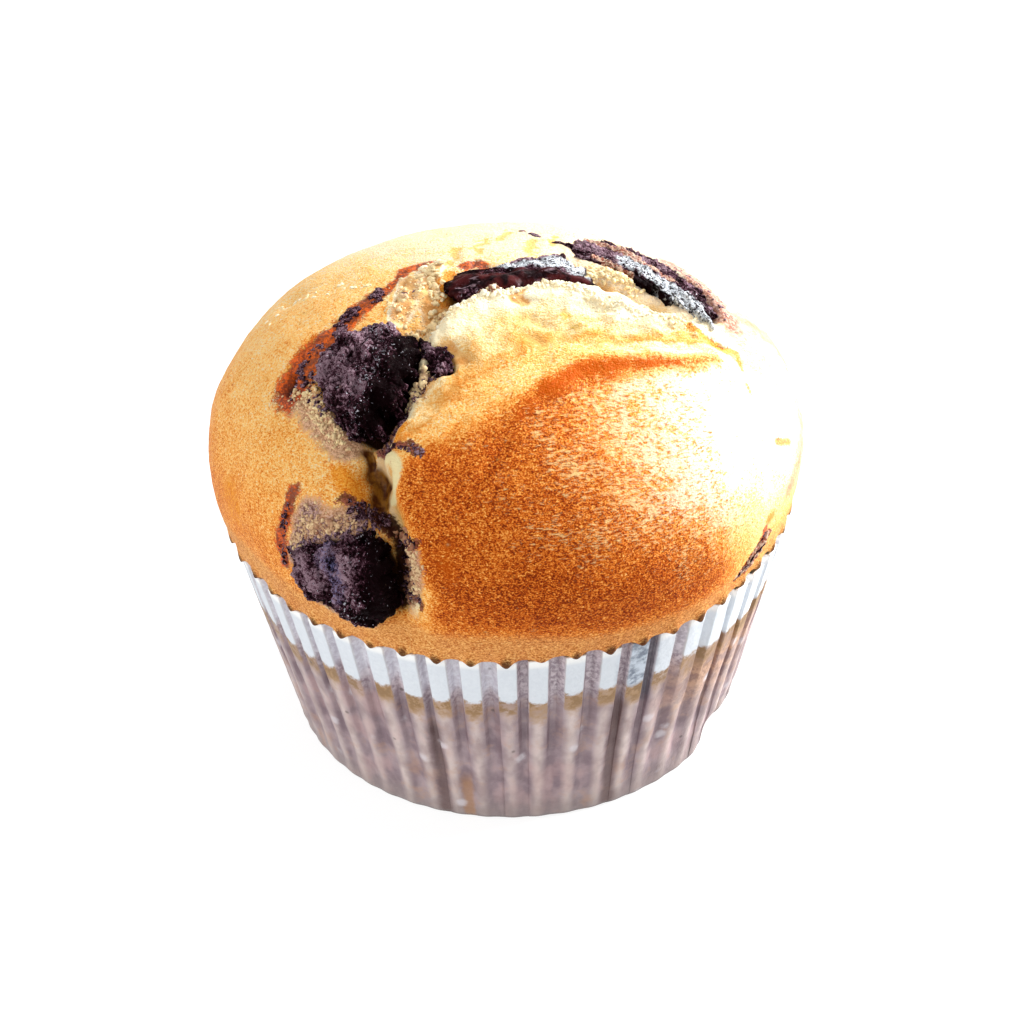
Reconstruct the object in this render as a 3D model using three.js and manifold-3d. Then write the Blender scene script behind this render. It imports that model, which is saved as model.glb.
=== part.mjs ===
// A chocolate chunk muffin in its pleated paper case.
// Units are millimetres, +Z is up, and the origin is the centre of the case's underside.
// The front is -Y and the right is +X.

import * as THREE from 'three';
import { mergeVertices } from 'three/addons/utils/BufferGeometryUtils.js';
import Module from 'manifold-3d';

const wasm = await Module();
wasm.setup();

// --- Driving dimensions -----------------------------------------------------------------------

// Paper case
const caseRimRadius = 35;
const caseBaseRadius = 28.4;
const caseHeight = 30;
const caseCornerHeight = 1.5;
const caseCornerInset = 0.6;
const cakeCornerInset = 1.5;
const paperThickness = 0.4;
const pleatCount = 54;
const pleatDepthAtRim = 1.2;
const pleatDepthAtBase = 0.35;
const pleatStart = -1.5; // degrees from the front to the middle of the first ridge
const pleatShift = 0.08; // how far a pleat strays, as a share of the pitch
const dent = { azimuth: 65, height: 2, halfWidth: 3, halfHeight: 3, depth: 1.4 }; // in the base
const dentHeight = 7; // where the wall is whole again

// Risen top: an upper half ellipsoid on a deeper lower one, which the rim of the case cuts off
const topRadius = 36.6;
const topLevel = 38.5;
const topRise = 20.6;
const topUnderRise = 28.3;
const apexShift = new THREE.Vector2(-1, 1);

// Crack, where the top burst, and the browned crust in front of it
const crackDepth = 2.6;
const crackHalfWidth = 3.2; // on the side of the back lobe
const crackFrontHalfWidth = 2.2;
const crackReach = 6.4; // how far from the crack the cake is torn
const crackShares = { start: -0.1, open: 0.15, closing: 0.75, closed: 1 }; // along the crack
const tornLip = { rise: 1, distance: 3.4, halfWidth: 2, start: 0.4, full: 0.55 };
const brownRidge = { rise: 0.7, halfWidth: 2.4 };
const unevenness = 0.15;
const cragHeight = 0.4;

// Clearances between pieces
const gap = 0.35;

// Fineness of the meshes
const topCells = 50; // cells along each side of the grid that covers the top
const ringCrowding = 1.2; // above 1, the rings of the grid lie closer together near the top

// --- Materials --------------------------------------------------------------------------------

const materials = {
  crust: new THREE.MeshStandardMaterial({ color: 0xdd9850, roughness: 0.75, metalness: 0 }),
  paper: new THREE.MeshStandardMaterial({ color: 0xb4a6a8, roughness: 0.8, metalness: 0 }),
  chocolate: new THREE.MeshStandardMaterial({ color: 0x3a2026, roughness: 0.45, metalness: 0 }),
};

// --- The skin of the top ----------------------------------------------------------------------

// Where the ray from the middle of the top through a point meets the smooth skin, and the
// direction that faces out there.
function skinAt(point) {
  const shift = THREE.MathUtils.clamp((point.z - topLevel) / topRise, 0, 1);
  const ray = new THREE.Vector3(
    point.x - apexShift.x * shift,
    point.y - apexShift.y * shift,
    point.z - topLevel,
  );
  const halfHeight = ray.z > 0 ? topRise : topUnderRise;
  const reach = Math.hypot(ray.x / topRadius, ray.y / topRadius, ray.z / halfHeight);
  ray.divideScalar(reach);
  const normal = new THREE.Vector3(
    ray.x / topRadius ** 2,
    ray.y / topRadius ** 2,
    ray.z / halfHeight ** 2,
  ).normalize();
  const lean = Math.max(ray.z / topRise, 0);
  ray.x += apexShift.x * lean;
  ray.y += apexShift.y * lean;
  ray.z += topLevel;
  return { point: ray, normal };
}

// A smooth line on the skin through a few points, as evenly spaced samples.
function lineOnSkin(points, samples) {
  const curve = new THREE.CatmullRomCurve3(points.map(([x, y, z]) => new THREE.Vector3(x, y, z)));
  return curve.getSpacedPoints(samples).map((sample) => skinAt(sample).point);
}

// The place on a line that is nearest to a point: how far away it is, what share of the line
// lies before it, and whether the point is to the right of the line as seen from outside.
function nearestOnLine(line, point, normal) {
  let best = { distance: Infinity };
  for (let i = 0; i + 1 < line.length; i += 1) {
    const along = line[i + 1].clone().sub(line[i]);
    const offset = point.clone().sub(line[i]);
    const step = THREE.MathUtils.clamp(offset.dot(along) / along.lengthSq(), 0, 1);
    const away = offset.addScaledVector(along, -step);
    const distance = away.length();
    if (distance < best.distance) {
      const onRight = along.cross(away).dot(normal) < 0;
      best = { distance, share: (i + step) / (line.length - 1), onRight };
    }
  }
  return best;
}

// From the left front of the rim, up past both chunks, over the top and down the right shoulder.
const crackLine = lineOnSkin(
  [
    [-12.5, -34.5, 34],
    [-13, -33, 42],
    [-14.5, -29, 47.5],
    [-16, -23.5, 51.5],
    [-13.5, -18, 55],
    [-11.5, -10.5, 57],
    [-8.5, -3.5, 58.5],
    [-3.5, 1.4, 59],
    [2, 3.2, 59],
    [8, 4, 58.5],
    [13, 2.4, 57.3],
    [18, 1, 56],
    [24, -1, 53.5],
    [31, -6, 48.5],
  ],
  64,
);

// The upper edge of the browned crust in front of the crack.
const brownRidgeLine = lineOnSkin(
  [
    [-12, -25.5, 50],
    [-8.5, -23, 52],
    [-3, -20, 54],
    [4, -16.5, 55.5],
    [9, -13, 56.5],
    [16, -11, 55.5],
    [25, -7, 52.5],
  ],
  32,
);

// Dents and flat places of the top.
const dips = [
  { at: [-15.7, -25.8, 49.8], halfWidth: 2.4, depth: 1.2 }, // pit between the two chunks
  { at: [31, -17, 34.5], halfWidth: 9, depth: 0.8 }, // flat place at the right of the rim
  { at: [-29, -17, 33.5], halfWidth: 8, depth: 0.4 }, // flat place at the left of the rim
  { at: [0, 20, 54], halfWidth: 12, depth: 0.3 }, // low back
  { at: [-26.2, 9.7, 52.2], halfWidth: 1.8, depth: 0.8 }, // notch at the left
];

// 1 at the middle of a bump and 0 well outside its half width.
function bell(distance, halfWidth) {
  return Math.exp(-((distance / halfWidth) ** 2));
}

// Broad hollows and swellings of the crust, from waves that cross at odd angles.
function swelling({ x, y, z }) {
  const first = Math.sin(0.21 * x + 0.13 * y + 0.9) * Math.cos(0.17 * y - 0.24 * z);
  const second = Math.sin(0.34 * y - 0.19 * x + 2.1) * Math.cos(0.29 * z + 0.22 * x);
  return first + 0.6 * second;
}

// Short, steep crumbs of torn cake.
function crags({ x, y, z }) {
  return Math.sin(1.7 * x + 0.6 * z) * Math.sin(1.5 * y - 0.8 * z + 0.4);
}

// How far the real surface stands above the smooth skin.
function relief({ point, normal }) {
  const { smoothstep } = THREE.MathUtils;
  const crack = nearestOnLine(crackLine, point, normal);
  const ridge = nearestOnLine(brownRidgeLine, point, normal);
  const begun = smoothstep(crack.share, crackShares.start, crackShares.open);
  const opening = begun * (1 - smoothstep(crack.share, crackShares.closing, crackShares.closed));
  const torn = bell(crack.distance, crackReach) * opening;
  const halfWidth = crack.onRight ? crackFrontHalfWidth : crackHalfWidth;
  let lift = -crackDepth * opening * bell(crack.distance, halfWidth);
  if (crack.onRight) {
    const overTop = smoothstep(crack.share, tornLip.start, tornLip.full) * opening;
    lift += tornLip.rise * overTop * bell(crack.distance - tornLip.distance, tornLip.halfWidth);
  }
  lift += brownRidge.rise * bell(ridge.distance, brownRidge.halfWidth);
  for (const dip of dips) {
    lift -= dip.depth * bell(point.distanceTo(new THREE.Vector3(...dip.at)), dip.halfWidth);
  }
  lift += unevenness * swelling(point);
  lift += cragHeight * torn * crags(point);
  return lift;
}

// --- Paper case -------------------------------------------------------------------------------

// Radius of the ridges of the pleats at a height.
function caseRadius(height) {
  if (height < caseCornerHeight) {
    const down = 1 - height / caseCornerHeight;
    return caseBaseRadius - caseCornerInset * down ** 2;
  }
  const up = (height - caseCornerHeight) / (caseHeight - caseCornerHeight);
  return THREE.MathUtils.lerp(caseBaseRadius, caseRimRadius, up);
}

// How far the dent in the base pushes the wall in.
function dentDepth(azimuth, height) {
  const offset = azimuth - THREE.MathUtils.degToRad(dent.azimuth - 90);
  const turn = Math.atan2(Math.sin(offset), Math.cos(offset));
  const across = bell(caseBaseRadius * turn, dent.halfWidth);
  return dent.depth * across * bell(height - dent.height, dent.halfHeight);
}

function pleatDepth(height) {
  return THREE.MathUtils.lerp(pleatDepthAtBase, pleatDepthAtRim, height / caseHeight);
}

// One pleat, as shares of the pitch: a flat ridge, then a flat valley.
const pleatCorners = [
  { phase: -0.28, sunk: 0 },
  { phase: 0.28, sunk: 0 },
  { phase: 0.4, sunk: 1 },
  { phase: 0.6, sunk: 1 },
];

// A ring of points round the pleated wall. The pleats run anticlockwise from the front, and an
// azimuth of 0 is at the right, along +X.
function pleatedRing(height, inset) {
  const ring = [];
  const pitch = (2 * Math.PI) / pleatCount;
  const first = THREE.MathUtils.degToRad(pleatStart - 90);
  for (let pleat = 0; pleat < pleatCount; pleat += 1) {
    const stray = pleatShift * Math.sin(4.7 * pleat);
    for (const { phase, sunk } of pleatCorners) {
      const azimuth = first + pitch * (pleat + stray + phase);
      const wall = caseRadius(height) - sunk * pleatDepth(height);
      const radius = wall - dentDepth(azimuth, height) - inset;
      ring.push(new THREE.Vector3(radius * Math.cos(azimuth), radius * Math.sin(azimuth), height));
    }
  }
  return ring;
}

// A closed body of rings that all have as many points, from a first pole to a last one. The
// rings run anticlockwise round +Z and follow each other from the underside, outside, to the top.
function bodyOfRings(firstPole, rings, lastPole) {
  const columns = rings[0].length;
  const vertices = [firstPole, ...rings.flat(), lastPole];
  const last = vertices.length - 1;
  const at = (row, column) => 1 + row * columns + (column % columns);
  const faces = [];
  for (let column = 0; column < columns; column += 1) {
    faces.push(0, at(0, column + 1), at(0, column));
    for (let row = 0; row + 1 < rings.length; row += 1) {
      faces.push(at(row, column), at(row, column + 1), at(row + 1, column + 1));
      faces.push(at(row, column), at(row + 1, column + 1), at(row + 1, column));
    }
    faces.push(at(rings.length - 1, column), at(rings.length - 1, column + 1), last);
  }
  const geometry = new THREE.BufferGeometry().setFromPoints(vertices);
  geometry.setIndex(faces);
  geometry.computeVertexNormals();
  return geometry;
}

function paperCaseGeometry() {
  const floor = paperThickness;
  const rings = [
    pleatedRing(0, 0),
    pleatedRing(caseCornerHeight, 0),
    pleatedRing(dentHeight, 0),
    pleatedRing(caseHeight, 0),
    pleatedRing(caseHeight, paperThickness),
    pleatedRing(floor, paperThickness),
  ];
  return bodyOfRings(new THREE.Vector3(0, 0, 0), rings, new THREE.Vector3(0, 0, floor));
}

// --- Muffin -----------------------------------------------------------------------------------

// A point of the uneven top. Spread runs from 0 at the top to 1 at the rim of the case.
function topPoint(spread, azimuth) {
  const rimDrop = (topLevel - caseHeight - gap) / topUnderRise;
  const lowest = Math.PI / 2 + Math.asin(rimDrop);
  const polar = lowest * spread ** ringCrowding;
  const halfHeight = polar < Math.PI / 2 ? topRise : topUnderRise;
  const lean = Math.max(Math.cos(polar), 0);
  const place = skinAt(
    new THREE.Vector3(
      topRadius * Math.sin(polar) * Math.cos(azimuth) + apexShift.x * lean,
      topRadius * Math.sin(polar) * Math.sin(azimuth) + apexShift.y * lean,
      topLevel + halfHeight * Math.cos(polar),
    ),
  );
  const point = place.point.clone().addScaledVector(place.normal, relief(place));
  point.z = Math.max(point.z, caseHeight + gap);
  return point;
}

// Radius of the cake inside the case at a height, clear of the valleys of the pleats.
function cakeRadius(height) {
  return caseRadius(height) - pleatDepth(height) - paperThickness - gap;
}

// A ring of the cake inside the case. It follows the dent.
function cakeRing(azimuths, wallRadius, height) {
  return azimuths.map((azimuth) => {
    const radius = wallRadius - dentDepth(azimuth, height);
    return new THREE.Vector3(radius * Math.cos(azimuth), radius * Math.sin(azimuth), height);
  });
}

// The top is a square grid that is bent into a disc, ring by ring. Rings below its edge make
// the underside of the lip, the tapered side and the bottom.
function muffinGeometry() {
  const half = topCells / 2;
  const vertices = [];
  const azimuths = [];
  for (let row = 0; row <= topCells; row += 1) {
    for (let column = 0; column <= topCells; column += 1) {
      const across = column - half;
      const back = row - half;
      const ring = Math.max(Math.abs(across), Math.abs(back));
      let azimuth = (Math.PI / 4) * (back / across);
      if (Math.abs(back) > Math.abs(across)) {
        azimuth = Math.PI / 2 - (Math.PI / 4) * (across / back);
      }
      if ((ring === Math.abs(across) && across < 0) || (ring === Math.abs(back) && back < 0)) {
        const alongSide = Math.abs(back) > Math.abs(across) || across < 0;
        azimuth += alongSide ? Math.PI : 0;
      }
      azimuths.push(azimuth);
      vertices.push(topPoint(ring / half, ring === 0 ? 0 : azimuth));
    }
  }

  const faces = [];
  const onGrid = (column, row) => row * (topCells + 1) + column;
  for (let row = 0; row < topCells; row += 1) {
    for (let column = 0; column < topCells; column += 1) {
      const near = [onGrid(column, row), onGrid(column + 1, row)];
      const far = [onGrid(column, row + 1), onGrid(column + 1, row + 1)];
      if ((column < half) === (row < half)) {
        faces.push(near[0], near[1], far[1], near[0], far[1], far[0]);
      } else {
        faces.push(near[0], near[1], far[0], near[1], far[1], far[0]);
      }
    }
  }

  const edge = [];
  for (let step = 0; step < topCells; step += 1) {
    edge[step] = onGrid(topCells, step);
    edge[topCells + step] = onGrid(topCells - step, topCells);
    edge[2 * topCells + step] = onGrid(0, topCells - step);
    edge[3 * topCells + step] = onGrid(step, 0);
  }
  const edgeAzimuths = edge.map((index) => azimuths[index]);
  const floor = paperThickness + gap;
  const rings = [
    cakeRing(edgeAzimuths, cakeRadius(caseHeight), caseHeight + gap),
    cakeRing(edgeAzimuths, cakeRadius(caseCornerHeight + floor), caseCornerHeight + floor),
    cakeRing(edgeAzimuths, cakeRadius(caseCornerHeight) - cakeCornerInset, floor),
  ];
  let above = edge;
  for (const ring of rings) {
    const below = ring.map((point) => vertices.push(point) - 1);
    for (let step = 0; step < below.length; step += 1) {
      const next = (step + 1) % below.length;
      faces.push(below[step], below[next], above[next], below[step], above[next], above[step]);
    }
    above = below;
  }
  const bottom = vertices.push(new THREE.Vector3(0, 0, floor)) - 1;
  for (let step = 0; step < above.length; step += 1) {
    faces.push(bottom, above[(step + 1) % above.length], above[step]);
  }

  const geometry = new THREE.BufferGeometry().setFromPoints(vertices);
  geometry.setIndex(faces);
  return geometry;
}

// --- Chocolate --------------------------------------------------------------------------------

// A lump of chocolate is a round body whose outline, seen from outside, is a closed curve
// through a few corners. The corners lie in the plane that touches the skin at the centre:
// [along, across] with "along" in the given direction and "across" to its left as seen from
// outside. The lump is draped on the skin: the rim of its outline lies at "bed" above the skin,
// its top "rise" above that and its underside "sink" below it.
const lumps = [
  {
    name: 'chocolate_chunk_upper',
    centre: [-17, -13.2, 55.5],
    along: [0, -1, -0.3],
    corners: [
      [-7.5, -3], [-7.5, 2.6], [-4, 6.2], [2.5, 5.4], [6.8, 3.2], [8.8, 0.5], [5.5, -3], [-2.5, -5.4],
    ],
    bed: -0.8,
    rise: 3,
    sink: 3,
    detail: 4,
  },
  {
    name: 'chocolate_chunk_lower',
    centre: [-19.1, -31.1, 40],
    along: [0, 0, -1],
    corners: [
      [-5, 0.5], [-4.8, 4], [-1.2, 5.8], [3, 5.4], [5.6, 3], [4.8, -1.5], [3.2, -6.2], [0, -7.8],
      [-2.6, -4.6],
    ],
    bed: -0.8,
    rise: 2.8,
    sink: 3,
    detail: 4,
  },
  {
    name: 'chocolate_strip_crest',
    centre: [3.5, 3.6, 58.9],
    along: [1, 0, 0],
    corners: [
      [-9.1, -5.2], [-7, -4.8], [-3.5, -3.6], [0, -2.6], [3.5, -2.3], [6.5, -2.6], [8.6, -3.2],
      [7.5, -0.3], [5.7, 2.9], [3.7, 5.4], [1.2, 5.2], [-3.5, 2.6], [-6.8, 0.8], [-9.2, 0.9],
      [-9.9, -2.1],
    ],
    bed: -0.6,
    rise: 1.1,
    sink: 2.4,
    detail: 4,
  },
  {
    name: 'chocolate_strip_right',
    centre: [17, 9.6, 55.8],
    along: [0.73, -0.66, -0.17],
    corners: [
      [-5.7, -4.7], [-3.2, -4.1], [0.9, -3.5], [4.2, -3.2], [8.2, -1.6], [12, -0.5], [12.3, 1.2],
      [7.1, 4.8], [1.4, 5], [-4.4, 4.7], [-8.8, 3], [-9.4, -1.6],
    ],
    bed: -0.3,
    rise: 1.1,
    sink: 2,
    detail: 4,
  },
  {
    name: 'chocolate_bit_upper',
    centre: [-7.9, -13, 57.5],
    along: [0.47, -0.87, -0.15],
    corners: [[-3, 0.4], [-0.5, 1.8], [2.6, 0.8], [1.6, -1.4], [-1.6, -1]],
    bed: -0.6,
    rise: 1.1,
    sink: 1.2,
    detail: 2,
  },
  {
    name: 'chocolate_bit_rim',
    centre: [29, -21.3, 33.4],
    along: [0.63, 0.71, 0.3],
    corners: [[-4, -0.4], [-1.5, 0.7], [1.5, 0.8], [3.8, 0.4], [1.5, -0.7], [-1.5, -0.9]],
    bed: -0.2,
    rise: 0.7,
    sink: 1,
    detail: 2,
  },
];

const lumpFullness = 0.75; // 1 gives round sides, and less gives steeper sides and a flatter top
const lumpRoughness = 0.2;

function lumpGeometry({ centre, along, corners, bed, rise, sink, detail }) {
  const geometry = new THREE.IcosahedronGeometry(1, detail);
  geometry.deleteAttribute('normal');
  geometry.deleteAttribute('uv');
  const welded = mergeVertices(geometry);
  const outlinePoints = corners.map(([a, b]) => new THREE.Vector3(a, b, 0));
  const outline = new THREE.CatmullRomCurve3(outlinePoints, true);
  const clockwise = THREE.ShapeUtils.area(outlinePoints) < 0;
  const middle = skinAt(new THREE.Vector3(...centre));
  const forward = new THREE.Vector3(...along).projectOnPlane(middle.normal).normalize();
  const left = middle.normal.clone().cross(forward);
  const positions = welded.getAttribute('position');
  const vertex = new THREE.Vector3();
  for (let i = 0; i < positions.count; i += 1) {
    vertex.fromBufferAttribute(positions, i);
    const spread = Math.hypot(vertex.x, vertex.y) ** lumpFullness;
    const turn = Math.atan2(vertex.y, vertex.x) / (2 * Math.PI);
    const edge = outline.getPoint(((clockwise ? -turn : turn) + 1) % 1);
    const height = (vertex.z > 0 ? rise : -sink) * Math.abs(vertex.z) ** lumpFullness;
    const plan = middle.point
      .clone()
      .addScaledVector(forward, edge.x * spread)
      .addScaledVector(left, edge.y * spread);
    const roughness = 1 + lumpRoughness * crags(plan);
    const place = skinAt(plan);
    place.point.addScaledVector(place.normal, bed + height * roughness);
    positions.setXYZ(i, place.point.x, place.point.y, place.point.z);
  }
  welded.computeVertexNormals();
  return welded;
}

// --- Cutting and assembly ---------------------------------------------------------------------

function asManifold(geometry) {
  const mesh = new wasm.Mesh({
    numProp: 3,
    vertProperties: new Float32Array(geometry.getAttribute('position').array),
    triVerts: new Uint32Array(geometry.getIndex().array),
  });
  return new wasm.Manifold(mesh);
}

function asGeometry(manifold) {
  const { vertProperties, triVerts } = manifold.getMesh();
  const geometry = new THREE.BufferGeometry();
  geometry.setAttribute('position', new THREE.BufferAttribute(vertProperties, 3));
  geometry.setIndex(new THREE.BufferAttribute(triVerts, 1));
  geometry.computeVertexNormals();
  return geometry;
}

// The same body, larger by a clearance on every side.
function swollen(geometry, clearance) {
  const larger = geometry.clone();
  const positions = larger.getAttribute('position');
  const normals = larger.getAttribute('normal');
  const vertex = new THREE.Vector3();
  const normal = new THREE.Vector3();
  for (let i = 0; i < positions.count; i += 1) {
    vertex.fromBufferAttribute(positions, i);
    normal.fromBufferAttribute(normals, i);
    vertex.addScaledVector(normal, clearance);
    positions.setXYZ(i, vertex.x, vertex.y, vertex.z);
  }
  return larger;
}

function namedMesh(name, geometry, material) {
  const mesh = new THREE.Mesh(geometry, material);
  mesh.name = name;
  return mesh;
}

const chocolate = new THREE.Group();
let cake = asManifold(muffinGeometry());
for (const lump of lumps) {
  const geometry = lumpGeometry(lump);
  cake = cake.subtract(asManifold(swollen(geometry, gap)));
  chocolate.add(namedMesh(lump.name, geometry, materials.chocolate));
}

const group = new THREE.Group();
group.add(namedMesh('paper_case', paperCaseGeometry(), materials.paper));
group.add(namedMesh('muffin', asGeometry(cake), materials.crust));
group.add(chocolate);

export default group;
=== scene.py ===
"""A chocolate chunk muffin in its pleated paper case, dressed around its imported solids.

Shapes are worked out in millimetres, with +Z up, the front at -Y and the right at +X, and go
into the meshes in metres.
"""

import math

import bpy
import numpy as np
from mathutils import Matrix, Vector


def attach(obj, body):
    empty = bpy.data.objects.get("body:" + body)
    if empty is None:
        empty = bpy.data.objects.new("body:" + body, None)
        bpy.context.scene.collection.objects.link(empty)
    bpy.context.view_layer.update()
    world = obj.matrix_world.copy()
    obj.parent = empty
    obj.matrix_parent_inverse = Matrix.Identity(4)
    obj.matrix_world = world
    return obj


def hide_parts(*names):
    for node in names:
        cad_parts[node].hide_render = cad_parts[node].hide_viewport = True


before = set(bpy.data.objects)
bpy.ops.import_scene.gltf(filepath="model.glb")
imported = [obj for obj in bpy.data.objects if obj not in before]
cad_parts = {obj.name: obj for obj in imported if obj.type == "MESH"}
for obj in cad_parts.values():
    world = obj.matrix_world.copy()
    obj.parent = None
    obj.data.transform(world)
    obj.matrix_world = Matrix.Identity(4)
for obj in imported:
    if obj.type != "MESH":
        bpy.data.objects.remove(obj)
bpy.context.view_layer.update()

METRES = 0.001

# --- Sizes, in millimetres ---------------------------------------------------------------------

case_rim_radius = 35
case_base_radius = 28.4
case_height = 30
case_corner_height = 1.5
case_corner_inset = 0.6
cake_corner_inset = 1.5
paper_thickness = 0.4
gap = 0.35  # between the cake and the paper
pleat_count = 54
pleat_pitch = 2 * math.pi / pleat_count
pleat_depth_at_rim = 1.2
pleat_depth_at_base = 0.35
first_ridge = math.radians(-1.5 - 90)  # a little to the left of the front
pleat_shift = 0.08  # how far a pleat strays, in pitches
dent = {"azimuth": math.radians(65 - 90), "height": 2, "half_width": 3.6, "half_height": 3, "depth": 1.96}

top_radius = 36.6
top_level = 38.5
top_rise = 20.6
top_under_rise = 28.3
apex_shift = np.array([-1.0, 1.0, 0.0])
top_cells = 284

crack_depth = 2.6
crack_half_width = 3.2
crack_front_half_width = 2.2
torn_lip = {"rise": 1, "distance": 3.4, "half_width": 2}
brown_ridge = {"rise": 0.7, "half_width": 2.4}
swelling_height = 0.15
tooth_drop = 1.0
tooth_bulge = 0.45
raggedness = 0.55  # how far the edges of marks on the crust stray
bed_depth = 2.2  # how deep the chocolate is sunk
lump_fullness = 0.75  # 1 is a ball, and less is boxier
rope_height = 0.9
rope_half_width = 1.0

# --- Numbers that vary over a surface ----------------------------------------------------------


def bell(distance, half_width):
    """1 at the middle of a bump and 0 well outside its half width."""
    return np.exp(-((distance / half_width) ** 2))


def smooth_step(value, start, end):
    """0 before start, 1 after end, and a smooth rise between them."""
    share = np.clip((value - start) / (end - start), 0, 1)
    return share * share * (3 - 2 * share)


def mixed(share, low, high):
    return low + (high - low) * share


def lengths(vectors):
    return np.sqrt((vectors**2).sum(axis=-1))


def unit(vectors):
    return vectors / np.maximum(lengths(vectors), 1e-12)[..., None]


def hashed(cells, seed):
    """A repeatable number from 0 to 1 for each whole-number cell: its coordinates are
    multiplied by large odd numbers, and their bits are folded over each other."""
    mask = 0xFFFFFFFF
    value = cells[..., 0] * 374761393 + cells[..., 1] * 668265263 + cells[..., 2] * 2147483629
    value = (value + seed * 1274126177) & mask
    value = ((value ^ (value >> 13)) * 1274126177) & mask
    value = ((value ^ (value >> 15)) * 2246822519) & mask
    return (value ^ (value >> 16)) / mask


def noise(points, size, seed):
    """Smooth waves from about -1 to 1: the eight corners of a point's cell each have a random
    slope, and the heights of the slopes above the point are blended."""
    scaled = points / size + 500
    cells = np.floor(scaled).astype(np.int64)
    inside = scaled - cells
    fade = inside**3 * (inside * (inside * 6 - 15) + 10)
    total = 0
    for corner in np.ndindex(2, 2, 2):
        corner = np.array(corner)
        weight = np.where(corner, fade, 1 - fade).prod(axis=-1)
        slope = np.stack([hashed(cells + corner, seed + k) * 2 - 1 for k in (0, 17, 31)], -1)
        total = total + weight * (slope * (inside - corner)).sum(axis=-1)
    return total * 1.5


def rough_noise(points, size, seed, octaves=3, keep=0.5):
    """Noise with finer and weaker noise on it."""
    total = 0
    weight = 1.0
    for octave in range(octaves):
        total = total + weight * noise(points, size / 2**octave, seed + 101 * octave)
        weight *= keep
    return total


def pebbles(points, size, seed):
    """The distance, in cells, to the nearest of one random point in each cell."""
    scaled = points / size + 500
    cells = np.floor(scaled).astype(np.int64)
    nearest = np.full(points.shape[:-1], 9.0)
    for step in np.ndindex(3, 3, 3):
        cell = cells + np.array(step) - 1
        spot = cell + np.stack([hashed(cell, seed + k) for k in (0, 17, 31)], -1)
        nearest = np.minimum(nearest, lengths(spot - scaled))
    return nearest


# --- Curves ------------------------------------------------------------------------------------


def curve_through(corners, shares, closed=False):
    """A smooth curve through the corners. The speed at a corner weighs the steps to its
    neighbours by the square roots of their lengths. A share of 1 is the end."""
    corners = np.asarray(corners, float)
    count = len(corners)
    if closed:
        padded = np.concatenate([corners[-1:], corners, corners[:2]])
        place = np.asarray(shares) % 1 * count
    else:
        before = 2 * corners[0] - corners[1]
        after = 2 * corners[-1] - corners[-2]
        padded = np.concatenate([[before], corners, [after]])
        place = np.clip(shares, 0, 1) * (count - 1)
    span = np.minimum(np.floor(place).astype(int), len(padded) - 4)
    t = (place - span)[..., None]
    a, b, c, d = (padded[span + k] for k in range(4))
    ab, bc, cd = (np.sqrt(lengths(q - p))[..., None] for p, q in ((a, b), (b, c), (c, d)))
    leave = ((b - a) / ab - (c - a) / (ab + bc) + (c - b) / bc) * bc
    arrive = ((c - b) / bc - (d - b) / (bc + cd) + (d - c) / cd) * bc
    square = 3 * (c - b) - 2 * leave - arrive
    cube = 2 * (b - c) + leave + arrive
    return b + leave * t + square * t**2 + cube * t**3


def on_skin(points):
    """Where the ray from the middle of the top through each point meets an upper half
    ellipsoid on a deeper lower one, both leaning by the apex shift, and what faces out there."""
    points = np.asarray(points, float)
    rise = np.clip((points[..., 2:] - top_level) / top_rise, 0, 1)
    ray = points - apex_shift * rise - np.array([0, 0, top_level])
    half_height = np.where(ray[..., 2] > 0, top_rise, top_under_rise)
    halves = np.stack([half_height * 0 + top_radius, half_height * 0 + top_radius, half_height], -1)
    ray = ray / lengths(ray / halves)[..., None]
    normals = unit(ray / halves**2)
    lean = np.maximum(ray[..., 2:] / top_rise, 0)
    return ray + apex_shift * lean + np.array([0, 0, top_level]), normals


def line_on_skin(corners, samples=64):
    """Evenly spaced points of a smooth line that lies on the skin."""
    dense = curve_through(corners, np.linspace(0, 1, 1200))
    travelled = np.concatenate([[0], np.cumsum(lengths(np.diff(dense, axis=0)))])
    wanted = np.linspace(0, travelled[-1], samples + 1)
    even = np.stack([np.interp(wanted, travelled, dense[:, k]) for k in range(3)], -1)
    return on_skin(even)[0]


def nearest_on_line(line, points, normals):
    """For each point: its distance to the line, the share of the line before the nearest
    place, and whether the point is to the line's right as seen from outside."""
    distance = np.full(len(points), 1e9)
    share = distance * 0
    on_right = distance < 0
    for i, (start, end) in enumerate(zip(line[:-1], line[1:])):
        along = end - start
        offset = points - start
        step = np.clip(offset @ along / (along @ along), 0, 1)
        away = offset - step[:, None] * along
        reach = lengths(away)
        nearer = reach < distance
        distance = np.where(nearer, reach, distance)
        share = np.where(nearer, (i + step) / (len(line) - 1), share)
        turned = (np.cross(along, away) * normals).sum(axis=-1) < 0
        on_right = np.where(nearer, turned, on_right)
    return distance, share, on_right


# From the left front of the rim, up past both chunks, over the top and down the right shoulder.
crack_line = line_on_skin(
    [
        [-12.5, -34.5, 34], [-13, -33, 42], [-14.5, -29, 47.5], [-16, -23.5, 51.5],
        [-13.5, -18, 55], [-11.5, -10.5, 57], [-8.5, -3.5, 58.5], [-3.5, 1.4, 59], [2, 3.2, 59],
        [8, 4, 58.5], [13, 2.4, 57.3], [18, 1, 56], [24, -1, 53.5], [31, -6, 48.5],
    ]
)

# The ridge of the browned crust in front of the crack.
brown_ridge_line = line_on_skin(
    [
        [-12, -25.5, 50], [-8.5, -23, 52], [-3, -20, 54], [4, -16.5, 55.5], [9, -13, 56.5],
        [16, -11, 55.5], [25, -7, 52.5],
    ],
    32,
)

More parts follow.
